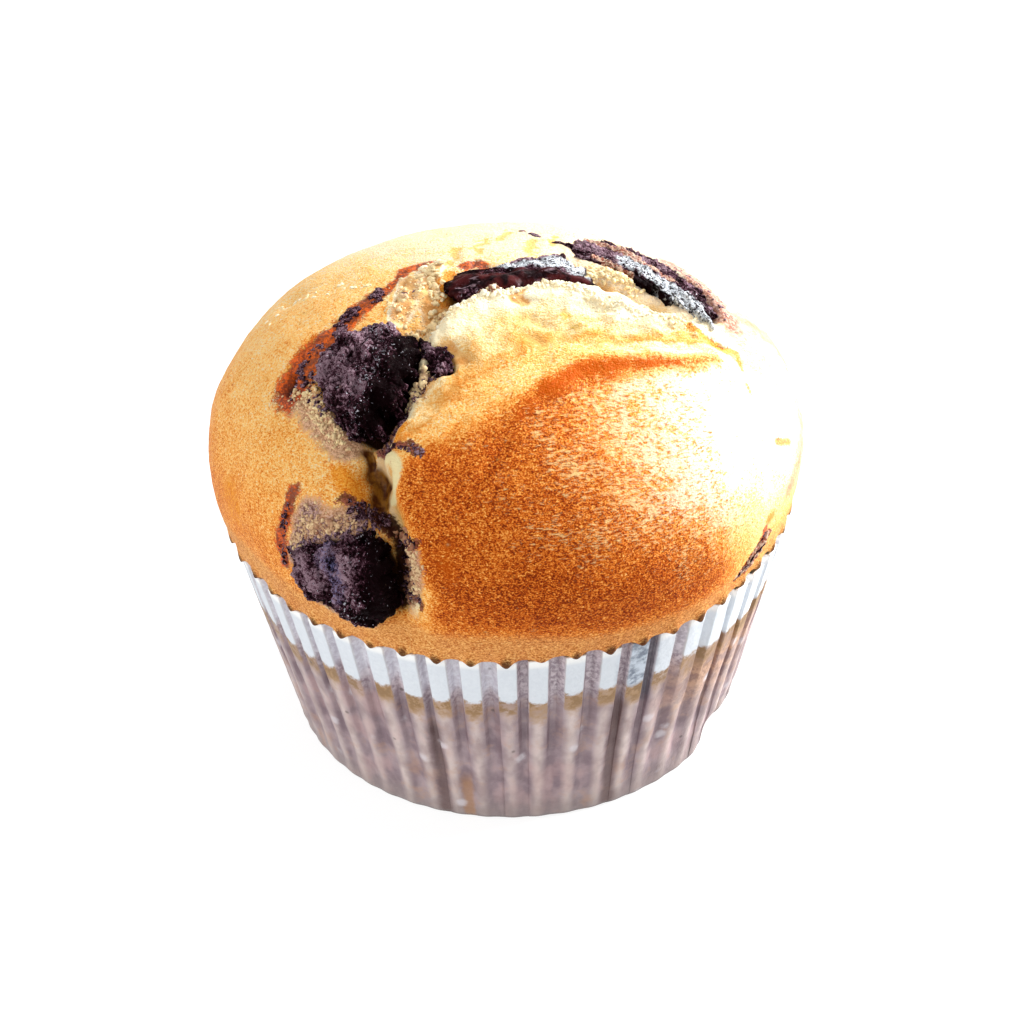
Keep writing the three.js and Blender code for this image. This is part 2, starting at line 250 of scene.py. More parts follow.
# The edge of that crust: up the right of the lower chunk, along the ridge, down the shoulder.
front_edge_line = line_on_skin(
    [
        [-9.4, -35.4, 36], [-9.5, -34.8, 41], [-11.8, -31.2, 45.8], [-13, -28, 49],
        [-12, -25.5, 51], [-8.5, -22.5, 53], [-3, -19.5, 55], [4, -16, 56.5], [9, -12.5, 57],
        [16, -10, 56], [25, -6.5, 52.5], [31, -5, 48],
    ]
)

# Where, how wide and how deep: dents and flat places of the top.
dips = [
    ([-15.7, -25.8, 49.8], 2.4, 1.2),
    ([31, -17, 34.5], 9, 0.8),
    ([-29, -17, 33.5], 8, 0.4),
    ([0, 20, 54], 12, 0.3),
    ([-26.2, 9.7, 52.2], 1.8, 0.8),
]

# --- Chocolate, as lumps draped on the skin -----------------------------------------------------

# The corners of an outline are in the lump's plan, which has its first axis along the lump and
# its second to the left. The heights are those of the lump's widest ring over the skin, of its
# top over that ring, and of the ring over its underside. Crumbs, ripples and ragged say how
# strong these are, and the grid gives the columns and rings.
lumps = {
    "chocolate_chunk_upper": {
        "centre": [-17, -13.2, 55.5],
        "along": [0, -1, -0.3],
        "corners": [
            [-7.5, -3], [-7.5, 2.6], [-4, 6.2], [2.5, 5.4], [6.8, 3.2], [8.8, 0.5], [5.5, -3],
            [-2.5, -5.4],
        ],
        "heights": (-0.8, 3, 3),
        "crumbs": 1.1, "ripples": 0.5, "ragged": 2.2,
        "grid": (300, 150),
    },
    "chocolate_chunk_lower": {
        "centre": [-19.1, -31.1, 40],
        "along": [0, 0, -1],
        "corners": [
            [-5, 0.5], [-4.8, 4], [-1.2, 5.8], [3, 5.4], [5.6, 3], [4.8, -1.5], [3.2, -6.2],
            [0, -7.8], [-2.6, -4.6],
        ],
        "heights": (-0.8, 2.8, 3),
        "crumbs": 1.1, "ripples": 0.6, "ragged": 2.4,
        "grid": (300, 150),
    },
    "chocolate_strip_crest": {
        "centre": [3.5, 3.6, 58.9],
        "along": [1, 0, 0],
        "corners": [
            [-9.1, -5.2], [-7, -4.8], [-3.5, -3.6], [0, -2.6], [3.5, -2.3], [6.5, -2.6],
            [8.6, -3.2], [7.5, -0.3], [5.7, 2.9], [3.7, 5.4], [1.2, 5.2], [-3.5, 2.6], [-6.8, 0.8],
            [-9.2, 0.9], [-9.9, -2.1],
        ],
        "heights": (-0.6, 1, 2.4),
        "crumbs": 0.7, "ripples": 0.25, "ragged": 2.2,
        "grid": (300, 140),
        # A rope of melted chocolate along the front of the strip.
        "rope": [
            [-6.4, -0.6, 58.9], [-5, 1.4, 59], [-3.4, 2, 59], [-1.4, 0.6, 59.1], [0.8, 1, 59.1],
            [2.6, 2.2, 59], [4.8, 2.7, 58.8], [7.2, 2.2, 58.6], [9.4, 1.2, 58.2], [11.4, -0.3, 57.9],
        ],
    },
    "chocolate_strip_right": {
        "centre": [17, 9.6, 55.8],
        "along": [0.73, -0.66, -0.17],
        "corners": [
            [-5.7, -4.7], [-3.2, -4.1], [0.9, -3.5], [4.2, -3.2], [8.2, -1.6], [12, -0.5],
            [12.3, 1.2], [7.1, 4.8], [1.4, 5], [-4.4, 4.7], [-8.8, 3], [-9.4, -1.6],
        ],
        "heights": (-0.5, 0.65, 2),
        "crumbs": 0.9, "ripples": 0.3, "ragged": 3.2,
        "grid": (240, 120),
    },
    "chocolate_bit_upper": {
        "centre": [-7.9, -13, 57.5],
        "along": [0.47, -0.87, -0.15],
        "corners": [
            [-3, 0.4], [-0.5, 1.8], [2.6, 0.8], [1.6, -1.4], [-1.6, -1],
        ],
        "heights": (-0.8, 0.8, 1.1),
        "crumbs": 0.9, "ripples": 0.3, "ragged": 7.5,
        "grid": (160, 80),
    },
    "chocolate_bit_rim": {
        "centre": [29, -21.3, 33.4],
        "along": [0.63, 0.71, 0.3],
        "corners": [
            [-4, -0.4], [-1.5, 0.7], [1.5, 0.8], [3.8, 0.4], [1.5, -0.7], [-1.5, -0.9],
        ],
        "heights": (-0.8, 0.35, 0.7),
        "crumbs": 0.5, "ripples": 0.2, "ragged": 4,
        "grid": (120, 60),
    },
}


def lump_frame(lump):
    """The middle of a lump on the skin, and the directions out, forward and to the left."""
    middle, out = on_skin(lump["centre"])
    forward = np.array(lump["along"], float)
    forward = unit(forward - (forward @ out) * out)
    return middle, out, forward, np.cross(out, forward)


def lump_outline(lump, turns):
    """The outline of a lump in its plan, by share of a full turn."""
    corners = np.array(lump["corners"], float)
    ahead = np.roll(corners, -1, axis=0)
    clockwise = (corners[:, 0] * ahead[:, 1] - corners[:, 1] * ahead[:, 0]).sum() < 0
    return curve_through(corners, -turns if clockwise else turns, closed=True)


def lump_share(lump, points):
    """How far out each point is in a lump's plan, from 0 at the middle to 1 on its outline, and
    how far away the outline is in the point's direction. The share is the point's own distance
    over that."""
    middle, out, forward, left = lump_frame(lump)
    offset = points - middle
    along, across = offset @ forward, offset @ left
    edge = lump_outline(lump, np.linspace(0, 1, 720, endpoint=False))
    bearing = np.arctan2(edge[:, 1], edge[:, 0])
    order = np.argsort(bearing)
    reach = np.interp(
        np.arctan2(across, along), bearing[order], lengths(edge)[order], period=2 * math.pi
    )
    nearby = 12  # from the plan; beyond it lies another side of the cake, outside every lump
    share = np.where(np.abs(offset @ out) > nearby, 9, np.hypot(along, across) / reach)
    return share, reach


# --- The surface of the cake --------------------------------------------------------------------


def swelling(points):
    """Broad hollows and swellings, from waves that cross at odd angles."""
    x, y, z = points.T
    first = np.sin(0.21 * x + 0.13 * y + 0.9) * np.cos(0.17 * y - 0.24 * z)
    second = np.sin(0.34 * y - 0.19 * x + 2.1) * np.cos(0.29 * z + 0.22 * x)
    return first + 0.6 * second


def crags(points):
    """Short, steep crumbs, from two crossing waves."""
    x, y, z = np.moveaxis(points, -1, 0)
    return np.sin(1.7 * x + 0.6 * z) * np.sin(1.5 * y - 0.8 * z + 0.4)


# --- Marks, as chains of points on the skin with a half width -------------------------------------

frayed_patches = {
    # Streaks where filling boiled out and burnt.
    "melt": [
        ([[-25.2, -11.2, 52.1], [-24, -8.4, 53.5], [-22.6, -6, 54.6], [-20.4, -4.6, 55.7]], 2.5),
        ([[-20.4, -4.6, 55.7], [-18.9, -2.4, 56.3], [-16.9, -0.1, 57], [-14.6, 2.2, 57.5]], 1.7),
        ([[-14.6, 2.2, 57.5], [-12.6, 5.4, 57.9], [-10.6, 7.6, 58], [-8.5, 7.7, 58.3]], 0.95),
        ([[-24.4, -23.1, 46.6], [-25.2, -23.9, 45], [-26.1, -24.6, 42.6], [-26.6, -25, 40],
          [-26.3, -25.5, 38]], 0.95),
        ([[-4.4, 6.2, 58.8], [-2.7, 6.7, 58.8], [-1.7, 4.8, 59]], 0.9),
        ([[28.1, -22.2, 32.7], [30.4, -19.8, 34.6], [30.8, -19.4, 35.8]], 0.8),
    ],
    # A rosy stain behind the right strip, and a cream one between the chunks.
    "rosy": [
        ([[20.6, 14.6, 53], [23, 12.6, 52.6], [25, 9, 52.3], [26.4, 5.2, 52], [27.6, 1.8, 51.5]], 1.9),
    ],
    "cream": [
        ([[-13.4, -24, 51.9], [-12.6, -25, 51.5], [-12.9, -26.6, 50.3], [-13.8, -27.8, 49.2]], 0.9),
    ],
    # Smears of chocolate.
    "cocoa": [
        ([[-18.9, -26.6, 47.7], [-17.2, -27.9, 47.5], [-15.8, -29.2, 46.9], [-15.4, -30.2, 46]], 1.1),
        ([[-14.3, -23, 52.2], [-12.8, -23.3, 52.5], [-11.3, -23.8, 52.5]], 0.45),
        ([[-11, -23.8, 52.6], [-9.9, -24.8, 52.3]], 0.75),
        ([[-10.8, -9.5, 57.4], [-11.2, -11.9, 56.9], [-11.9, -13.6, 56.4]], 0.6),
        ([[-8.4, -14.3, 56.7], [-10.4, -16.6, 55.8], [-12.2, -18.3, 54.9]], 0.7),
        ([[-12.2, -18.3, 54.9], [-13.6, -20.5, 53.6], [-14.7, -22, 52.6]], 1.1),
        ([[-10.8, -9.5, 57.4], [-9.3, -10.7, 57.5], [-6.9, -12.2, 57.5]], 0.8),
        ([[-12.3, -31.8, 45.6], [-11.1, -32.5, 45.4]], 0.7),
        ([[-12.5, -33, 43.7], [-11.8, -33.6, 43]], 1),
        ([[-12.1, -34.5, 38.8], [-10.8, -34.9, 38.4]], 0.7),
        ([[-5.2, -1.4, 58.9], [-3.5, -0.6, 59]], 0.6),
        ([[-16.3, -28.2, 47.7], [-16, -29.3, 46.7]], 0.5),
    ],
    # The gaps beside the chunks, darkened nearly to black: painted shade.
    "gap": [
        ([[-15.6, -29.4, 46.8], [-14.7, -30.4, 46.3], [-14, -31.3, 45.3], [-13.7, -32.4, 43.9],
          [-13.9, -33.1, 42.2], [-14.1, -33.4, 40.6]], 1.3),
        ([[-15.6, -29, 47.2], [-14.4, -30.8, 46], [-13.3, -32.4, 44], [-12.9, -33.7, 41.2],
          [-13.4, -33.9, 36.9]], 1.5),
        ([[-12, -9.5, 57.1], [-12.2, -12.6, 56.5], [-13.4, -16.4, 55.3], [-15.2, -20.2, 53.2]], 0.8),
        ([[-25.6, -10.9, 52], [-24.6, -8.6, 53.2]], 0.5),
    ],
    # Glassy pits between the chunks.
    "pit": [
        ([[-16.9, -21.6, 52], [-16.7, -23, 51.4]], 0.75),
        ([[-16.4, -24.2, 50.8], [-15.9, -25.8, 50], [-15.9, -27.4, 48.6]], 1.4),
    ],
    # Creases of the front crust, browned a little as painted shade.
    "crease": [
        ([[-5, -30.2, 49.4], [-3.4, -29, 50.6], [-1.8, -26.8, 52.1], [-0.3, -25.1, 53.1]], 0.8),
        ([[-9.6, -25.4, 52.2], [-7.4, -24.4, 53.2], [-5, -22, 54.6]], 0.5),
    ],
    # Hollows of the torn crumb, coloured darker partly as painted shade: plain ones, ones with a tan
    # bottom, and yellowish ones.
    "shallow": [
        ([[3.3, -9.7, 58], [4.7, -10.5, 57.8], [6, -9.9, 57.8], [6.7, -8.6, 57.9]], 1.2),
        ([[2.6, -5.9, 58.7], [4.2, -6.9, 58.4]], 1),
        ([[12.4, -9, 56.8], [13.7, -9.9, 56.4], [15.3, -10.2, 56]], 0.9),
    ],
    "tan": [
        ([[0.3, 0.2, 59.1], [1.4, -1.8, 59], [2.4, -2.8, 58.9]], 0.9),
        ([[-12.9, -6.6, 57.4], [-10.4, -4.8, 58.3], [-8.2, -3, 58.7], [-7, -1.9, 58.8]], 1.4),
        ([[-8.4, -14, 56.8], [-9.4, -16.4, 56]], 1.2),
        ([[0.4, -0.9, 59.1], [1.9, -0.6, 59]], 0.9),
        ([[-6.6, -10.6, 57.8], [-5, -12.6, 57.4]], 1.3),
        ([[12, 5, 57.9], [14.5, 3.6, 57.4]], 1.2),
        ([[16.5, 2.2, 56.8], [18.6, 0.6, 56]], 1),
    ],
    "yellow": [
        ([[6.6, -4.7, 58.4], [7.3, -6.2, 58.1], [8.1, -7.5, 57.9]], 0.9),
        ([[-2.8, 9.4, 58.4], [-2.2, 14.6, 57.6]], 1.2),
        ([[3.2, 10.2, 58.3], [3.8, 14.2, 57.4]], 1.1),
        ([[0, 14.8, 57.5], [0.8, 19, 56.3]], 1),
        ([[-6.2, 7.4, 58.6], [-5.6, 11.8, 58.1]], 0.9),
        ([[-7.5, -2, 58.6], [-6, -3.2, 58.6]], 0.9),
        ([[6.2, 13.4, 57.4], [6.8, 17, 56.5]], 0.8),
    ],
    # Crests that are baked orange, and ones that are baked tan.
    "orange": [
        ([[4.6, -18, 55.8], [7.2, -15.7, 56.2], [9.6, -14.5, 56.1], [12.6, -13.3, 55.8]], 1.5),
        ([[12.6, -13.3, 55.8], [16.3, -12.1, 55.1], [19.9, -10.6, 54.2]], 0.8),
    ],
    "tan_crest": [
        ([[9.6, -14.5, 56.1], [16.3, -12.1, 55.1], [19.9, -10.6, 54.2], [24.4, -7.8, 52.6]], 1.4),
        ([[1, -21, 54.6], [4.2, -18.6, 55.7]], 1),
        ([[-7.6, -34.2, 45], [-7, -34.9, 42.4]], 1.3),
    ],
    # Places behind the crack where the crust is torn.
    "torn": [
        ([[-9.8, -6.1, 58.1], [-8.7, -3.5, 58.5], [-8.2, -0.6, 58.6], [-8.2, 3, 58.7],
          [-9.3, 6.6, 58.3]], 1.6),
        ([[-12.6, -2.6, 57.9], [-11.4, 0.6, 58.2], [-10.9, 3.6, 58.2]], 1.9),
        ([[-9.2, -0.8, 58.6], [-8.9, 2.4, 58.6], [-8.2, 5.4, 58.5]], 1.4),
    ],
}

# The same for marks whose edges don't stray.
plain_patches = {
    # Greyish crumbs round the chunks, and mauve ones with more chocolate in them.
    "haze": [
        ([[-24.6, -11.6, 52.2], [-23, -14.5, 52.5], [-20.8, -18.2, 52], [-18.8, -21, 51.6]], 2.2),
        ([[-24, -25.5, 44.3], [-22.8, -25.6, 45.7], [-21, -27.3, 45.4], [-18.9, -27.9, 46.6]], 1.7),
        ([[-22.8, -25.6, 45.7], [-24.2, -26.6, 42.3], [-25, -27, 39.6]], 1.7),
        ([[-23, -26.8, 43.4], [-20.6, -28.4, 44.2], [-18, -29.2, 45.6]], 1.6),
        ([[-23.4, -27.8, 35.4], [-20.4, -30, 34.9], [-18.2, -31.1, 34.2], [-16.4, -32.3, 34.5]], 1.1),
        ([[-11.3, -33, 44], [-10.9, -34.2, 41.6], [-11.8, -34.6, 38.8]], 1.2),
        ([[-12.2, -17.6, 55.1], [-10.4, -15.9, 56], [-9.6, -13.6, 56.8]], 1.3),
    ],
    "mauve": [
        ([[-22.8, -26, 45.2], [-24, -26.8, 42.3], [-24.4, -27.2, 39.6]], 1.9),
        ([[-22, -27.4, 44], [-20.2, -28.2, 44.9], [-18, -28.8, 46.4]], 1.5),
        ([[-13.6, -20.5, 53.6], [-14.5, -21.8, 52.6]], 1.2),
        ([[-22.1, -29, 36.1], [-20.4, -30, 34.9]], 0.8),
    ],
    # Spots of caramel.
    "caramel": [
        ([[-33.3, -14.8, 41], [-33.1, -15.5, 40], [-32.8, -16.2, 39.2]], 2.4),
        ([[32.1, -12.9, 44.6], [33.6, -10.9, 43.2]], 0.6),
        ([[-19.4, -23.8, 49.6], [-18.6, -25.4, 49], [-18.2, -26.6, 47.9]], 1.7),
        ([[20, -2.2, 55], [22, -3.4, 54.2], [24.3, -4.2, 53.1], [26.2, -4, 52.1],
          [27.4, -3.6, 51.4]], 0.9),
        ([[27.6, -4, 51.3], [28, -6.6, 50.6]], 0.45),
        ([[28.5, -8.4, 49.9], [28.9, -9.6, 49.3]], 0.35),
        ([[31.7, -18.1, 37.3], [31.1, -19.2, 37.6]], 0.9),
        ([[-7.2, 2.9, 58.7], [-7.2, 0.3, 58.9], [-6.2, 4.6, 58.8]], 1),
        ([[-26.2, -9.9, 51.9], [-24.9, -6.6, 53.6], [-22.9, -3.7, 55.1]], 1.3),
        ([[-12.9, -22.5, 53.1], [-11.7, -21.1, 53.9]], 0.6),
    ],
    # Golden edges at the right, partly painted shade that darkens the side near its outline.
    "golden": [
        ([[30.4, 6, 49.2], [33.2, 7, 45.6], [34.8, 6.4, 43.5]], 3.4),
        ([[35.6, -3.9, 41.9], [35.6, -5.9, 41], [35.4, -8.6, 39.9], [34.9, -10.9, 38.8],
          [34.3, -13, 38.2]], 2.6),
    ],
}

# How deep the marks are.
mark_depths = {"shallow": 0.4, "pit": 1.2, "yellow": 0.15, "tan": 0.6, "crease": 0.25, "gap": 1.3}

# The same on the chocolate.
chocolate_patches = {
    # Black where it melted, partly painted shade on flanks that face away, and glossy where it stayed
    # liquid longest.
    "black": [
        ([[-10.6, -9.2, 57.5], [-11.6, -12.5, 56.7], [-12.6, -15.3, 55.8], [-14.3, -17.2, 54.7],
          [-15.4, -19.5, 53.5]], 1.5),
        ([[-14.6, -30, 47], [-14.2, -31.6, 45.2], [-14, -32.8, 43.1], [-14.2, -33.4, 40.1],
          [-14.8, -33.4, 36.9]], 2.1),
        ([[16.4, 5.6, 56.4], [18.4, 3.8, 55.9], [20.4, 2.2, 55.2], [22.6, 0.8, 54.3]], 1.1),
    ],
    "molten": [
        ([[-6.2, 0.2, 58.9], [-4.4, 1.6, 59], [-1.4, 0.9, 59.1], [2.4, 2, 59]], 1.9),
        ([[2.4, 2, 59], [5.5, 2.6, 58.7], [8.6, 1.6, 58.3], [11.5, -0.2, 57.9]], 1.5),
        ([[-5.6, 2.4, 58.8], [-3.6, 3.2, 58.9]], 1.6),
    ],
    # Mauve bloom, and a bluer painted highlight.
    "bloom": [
        ([[-20.8, -6.9, 55.2], [-18.8, -6.7, 56], [-16.3, -8.6, 56.4], [-14, -7.4, 57.3]], 2.6),
        ([[-20.5, -10.1, 54.7], [-18.6, -12.8, 54.8], [-17, -15.4, 54.4]], 2.4),
        ([[-24.6, -27.2, 40.2], [-21.8, -29.1, 40.5], [-19.2, -30.6, 41.8], [-17.6, -32, 40.4]], 2.6),
        ([[8.2, 14.8, 56.8], [11.4, 14.2, 56.6], [15, 10.6, 56.4], [18.2, 9.4, 55.6]], 3.4),
        ([[0.6, 5.6, 59], [3.4, 6.9, 58.7], [5.8, 7.6, 58.4]], 1.6),
        ([[-9.9, -9.4, 57.5], [-9, -10.4, 57.5]], 0.8),
    ],
    "lilac": [
        ([[-20.8, -29.4, 42.6], [-19.4, -30.6, 41.4], [-18.9, -31.2, 39.6]], 1.5),
    ],
    # Painted highlights: bright grains, few and many; the many are pale specks, partly bloom and partly a
    # painted reflection.
    "sparkle": [
        ([[-13.2, -11.2, 56.7], [-15.4, -15.2, 55], [-16.6, -18.6, 53.2]], 1.6),
        ([[-16.8, -6.6, 56.8], [-14.8, -7, 57.2], [-12.6, -7.6, 57.4]], 1.3),
        ([[-17.8, -28.8, 46], [-16.6, -29.6, 46], [-14.8, -30.8, 45.8]], 1.2),
        ([[-17.4, -32.2, 38.6], [-16.6, -32.6, 36.8]], 1.4),
        ([[-4.6, 3.4, 58.8], [-1, 2.4, 59.1]], 0.6),
    ],
    "frost": [
        ([[4.4, 5.8, 58.8], [6.2, 6.6, 58.5], [8, 6.2, 58.2], [9.2, 4.4, 58.1]], 1.6),
        ([[0.2, 5, 59], [2.4, 5.4, 58.9], [4.4, 6.4, 58.7]], 1),
        ([[15.4, 9.8, 56.2], [17.2, 8.3, 55.9], [19, 6.5, 55.5], [21, 4.4, 55], [23.4, 2.4, 54],
          [25.4, 0.2, 52.9]], 1.5),
        ([[12.4, 19.3, 54.9], [11, 17.6, 55.7]], 1),
    ],
    # Crumbs of the cake that stick to it.
    "crumbed": [
        ([[10.5, 16.6, 55.8], [13.5, 14, 56], [17, 10.8, 55.6], [20.6, 7.6, 54.8]], 0.8),
        ([[26.5, -23.8, 32.6], [29, -21.4, 34.3], [31.4, -18.6, 35.4]], 0.7),
        ([[26.3, -24.2, 31.2], [29, -21.9, 32.5], [31.6, -19, 33.9]], 0.6),
        ([[11.6, 9.6, 57.3], [13.6, 8.2, 57], [15.4, 6.8, 56.6]], 0.8),
    ],
}


def painted(places, normals, patches):
    """How strongly the nearest of some patches colours each point: a bell round each chain."""
    strength = np.zeros(len(places))
    for chain, half_width in patches:
        line = on_skin(curve_through(chain, np.linspace(0, 1, 12)))[0]
        distance = nearest_on_line(line, places, normals)[0]
        strength = np.maximum(strength, bell(distance, half_width))
    return strength


def rim_height(x, z):
    """Heights as the golden rim goes by them, which lies lower towards the right."""
    return z + 1.6 * smooth_step(x, -2, 14)


def baking(places, into_front, ridge):
    """How brown the crust is, from 0 for cream to 1 for dark brown: golden on the left lobe,
    paler to the back and the right shoulder, brown in front, and golden again at the rim."""
    x, y, z = places.T
    level = 0.34 - 0.27 * smooth_step(y + 0.5 * x, -14, 20) - 0.05 * smooth_step(z, 46, 57)
    # Paler to the right, partly as painted glare of the window.
    level -= 0.08 * smooth_step(x, 5, 30) + 0.03 * smooth_step(x, -12, -24)
    level += 0.2 * smooth_step(z, 49, 38) * smooth_step(x, -8, -28)
    level += 0.3 * smooth_step(y, 8, 26) * smooth_step(z, 54, 44) * smooth_step(x, 8, -14)
    fade = 1.8 + 4.0 * bell(x + 3, 6) * smooth_step(z, 46, 52)
    front = smooth_step(into_front, -0.6, fade) * smooth_step(y, 6, -6)
    # The right shoulder and the far right are paler still: partly lighter baking, partly painted glare of
    # the window.
    shoulder = smooth_step(x + 0.9 * (z - 46) + 2.5 * rough_noise(places, 6, 45), 12, 30)
    brown = 0.74 + 0.07 * bell(z - 40, 5) * smooth_step(x, -14, 4)
    brown = mixed(shoulder, brown, 0.5)
    brown = mixed(smooth_step(x, 22, 31), brown, 0.3)
    level = mixed(front, level, brown)
    level += 0.06 * bell(ridge, 2.0) * front * (1 - shoulder)
    level = mixed(0.8 * smooth_step(rim_height(x, z), 37.5, 34.0), level, 0.52)
    level += 0.05 * rough_noise(places, 9, 41) + 0.05 * rough_noise(places, 3, 43)
    return np.clip(level, 0, 1)


def cake_surface(places, normals):
    """The real surface over points of the smooth skin, and the marks that its finish reads.

    It is the skin, lifted along its normal by the crack, the torn lip, the brown ridge, dips,
    swellings, crumbs of three sizes where the cake is torn, and beds for the chocolate.
    """
    x, y, z = places.T
    strays = [rough_noise(places, 3.2, seed) for seed in (3, 5, 7)]
    ragged = places + raggedness * np.stack(strays, -1)
    marks = {mark: painted(ragged, normals, chains) for mark, chains in frayed_patches.items()}
    for mark, chains in plain_patches.items():
        marks[mark] = painted(places, normals, chains)
    distance, share, on_right = nearest_on_line(crack_line, ragged, normals)
    ridge = nearest_on_line(brown_ridge_line, ragged, normals)[0]
    edge, edge_share, in_front = nearest_on_line(front_edge_line, ragged, normals)
    opening = smooth_step(share, -0.1, 0.15) * (1 - smooth_step(share, 0.75, 1))
    half_width = np.where(on_right, crack_front_half_width, crack_half_width)
    wall = np.where(on_right, np.abs(distance / half_width) ** 1.6, distance / half_width)
    lift = -crack_depth * opening * bell(wall, 1)
    over_top = smooth_step(share, 0.4, 0.55) * opening * on_right
    lip_rise = torn_lip["rise"] * mixed(bell(x - 4, 6), 1.0, 0.2)
    lift += lip_rise * over_top * bell(distance - torn_lip["distance"], torn_lip["half_width"])
    lift += brown_ridge["rise"] * bell(ridge, brown_ridge["half_width"])
    for at, half, depth in dips:
        lift -= depth * bell(lengths(places - np.array(at)), half)
    lift += swelling_height * swelling(places)

    # Bare crumb lies between the crack and the edge of the front crust. Its stretch goes from 0
    # at the crack to 1 at the edge.
    bare = on_right & ~in_front
    stretch = np.where(bare, distance / (distance + edge + 1e-6), np.where(in_front, 1.0, 0.0))
    stretch = stretch ** (1 + 0.8 * bell(x - 15, 6) - 0.25 * bell(x + 5, 5))
    behind = bell(distance, 2.6) * smooth_step(share, 0.42, 0.55)
    crumb = np.where(bare, 1 - smooth_step(stretch, 0.5, 1.05), behind)
    crumb = crumb * smooth_step(share, -0.05, 0.12) * (1 - smooth_step(share, 0.9, 1.0))
    torn_back = marks.pop("torn")
    crumb = np.maximum(crumb, smooth_step(torn_back, 0.25, 0.7))
    clods = 0.55 - pebbles(ragged, 2.3, 11)
    grains = 0.5 - pebbles(ragged, 1.0, 13)
    torn_relief = 0.55 * clods + 0.4 * grains + 0.16 * rough_noise(places, 0.8, 19)
    torn_relief = torn_relief + 0.7 * rough_noise(places, 4.0, 15, 2) + 0.25 * torn_back * clods
    by_strip = 1 - 0.7 * bell(x - 4, 7) * smooth_step(y, -3, 0)
    by_strip *= 1 - 0.6 * bell(x - 1, 9) * smooth_step(y, -1, -4)
    run = np.stack([edge / 0.7, edge_share * 14, edge * 0], -1)
    streak = rough_noise(run, 1.0, 53, 2) * bare * smooth_step(edge, 9, 3)
    lift += crumb * torn_relief * by_strip + 0.12 * crumb * streak
    for mark, depth in mark_depths.items():
        lift -= depth * marks[mark]
    lift += 0.3 * marks["haze"] * (0.3 + clods + grains)
    lift += 0.35 * marks["melt"] * rough_noise(places, 0.9, 37)
    waves = 0.10 * rough_noise(places, 5.0, 23) + 0.035 * rough_noise(places, 1.2, 29, 2)
    lift += waves * (1 - crumb)

    bed = np.zeros(len(places))
    for lump in lumps.values():
        far, reach = lump_share(lump, places)
        bed = np.maximum(bed, 1 - smooth_step((far - 1) * reach, -1.6, 0.5))
    lift -= bed_depth * bed

    hollow = np.maximum(smooth_step(-torn_relief, -0.05, 0.75), marks.pop("shallow"))
    orange = np.maximum(marks["orange"], 0.55 * marks.pop("tan_crest"))
    # Painted glare of the window: where the crust gets pale flecks that stand for its highlight, more to
    # the right and up the top, less at the back and on orange crests. The coat's real gloss follows it
    # too.
    above = z - 46
    sheen = np.clip((x + np.where(above > 0, 0.6, 1.9) * above + 4) / 32, 0, 1.1)
    sheen = sheen * smooth_step(y, 20, 0) * (1 - orange) * np.where(in_front, 1, 0.5)
    marks |= {
        "bake": baking(places, np.where(in_front, edge, -edge), ridge),
        "bed": bed,
        "crack": opening * bell(distance, half_width),
        "crumb": crumb,
        "hollow": hollow,
        "orange": orange,
        "rim": smooth_step(rim_height(x, z), 37.0, 33.0),
        "sheen": sheen,
        "streak": streak,
        "stretch": stretch,
        "tan": np.maximum(marks["tan"], torn_back * (0.9 + 0.3 * hollow)),
    }
    return places + normals * lift[:, None], marks


# --- Meshes -------------------------------------------------------------------------------------


def add_to_scene(name, data):
    thing = bpy.data.objects.new(name, data)
    bpy.context.scene.collection.objects.link(thing)
    return thing


def make_piece(name, points, faces, finish, stands_for=(), marks=None, uv=None):
    """A shown piece from points in millimetres, its faces and the marks of its points."""
    mesh = bpy.data.meshes.new(name)
    mesh.from_pydata(np.asarray(points) * METRES, [], faces)
    for mark, values in (marks or {}).items():
        layer = mesh.attributes.new(mark, "FLOAT", "POINT")
        layer.data.foreach_set("value", np.asarray(values, np.float32))
    if uv is not None:
        corners = mesh.uv_layers.new(name="UVMap")
        corners.data.foreach_set("uv", np.asarray(uv, np.float32).ravel())
    mesh.polygons.foreach_set("use_smooth", np.ones(len(mesh.polygons), bool))
    mesh.materials.append(finish)
    mesh.validate()
    piece = add_to_scene(name, mesh)
    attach(piece, "root")
    if stands_for:
        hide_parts(*stands_for)
    return piece


def ring_faces(rows, columns, first=0):
    """Quads between rings that lie one after another and close round on themselves."""
    row, column = np.meshgrid(np.arange(rows - 1), np.arange(columns), indexing="ij")
    ahead = (column + 1) % columns
    near, far = first + row * columns, first + (row + 1) * columns
    return np.stack([near + column, near + ahead, far + ahead, far + column], -1).reshape(-1, 4)


def fan_faces(pole, ring):
    """Triangles from a pole to each side of a closed ring of points."""
    return np.stack([np.full(len(ring), pole), ring, np.roll(ring, -1)], -1)


def ball_faces(rows, columns):
    """Rings that are closed by a low and a high pole, whose points follow the rings' own."""
    lowest = np.arange(columns)
    low = fan_faces(rows * columns, lowest)[:, ::-1]
    high = fan_faces(rows * columns + 1, lowest + (rows - 1) * columns)
    return ring_faces(rows, columns).tolist() + low.tolist() + high.tolist()


def around(radius, azimuth, height):
    """Points at a distance from the upright axis, in a direction, at a height."""
    return np.stack([radius * np.cos(azimuth), radius * np.sin(azimuth), height], -1)


def surface_normals(net):
    """Outward directions of a net of rings that run anticlockwise, from its two slopes."""
    ahead = np.roll(net, -1, axis=1) - np.roll(net, 1, axis=1)
    return unit(np.cross(ahead, np.gradient(net, axis=0)))


# --- Case ---------------------------------------------------------------------------------------


def case_radius(height):
    """The ridges' radius: a parabola in the corner of the base, then a straight taper."""
    down = np.clip(1 - height / case_corner_height, 0, 1)
    up = (height - case_corner_height) / (case_height - case_corner_height)
    corner = case_base_radius - case_corner_inset * down**2
    return np.where(height < case_corner_height, corner, mixed(up, case_base_radius, case_rim_radius))


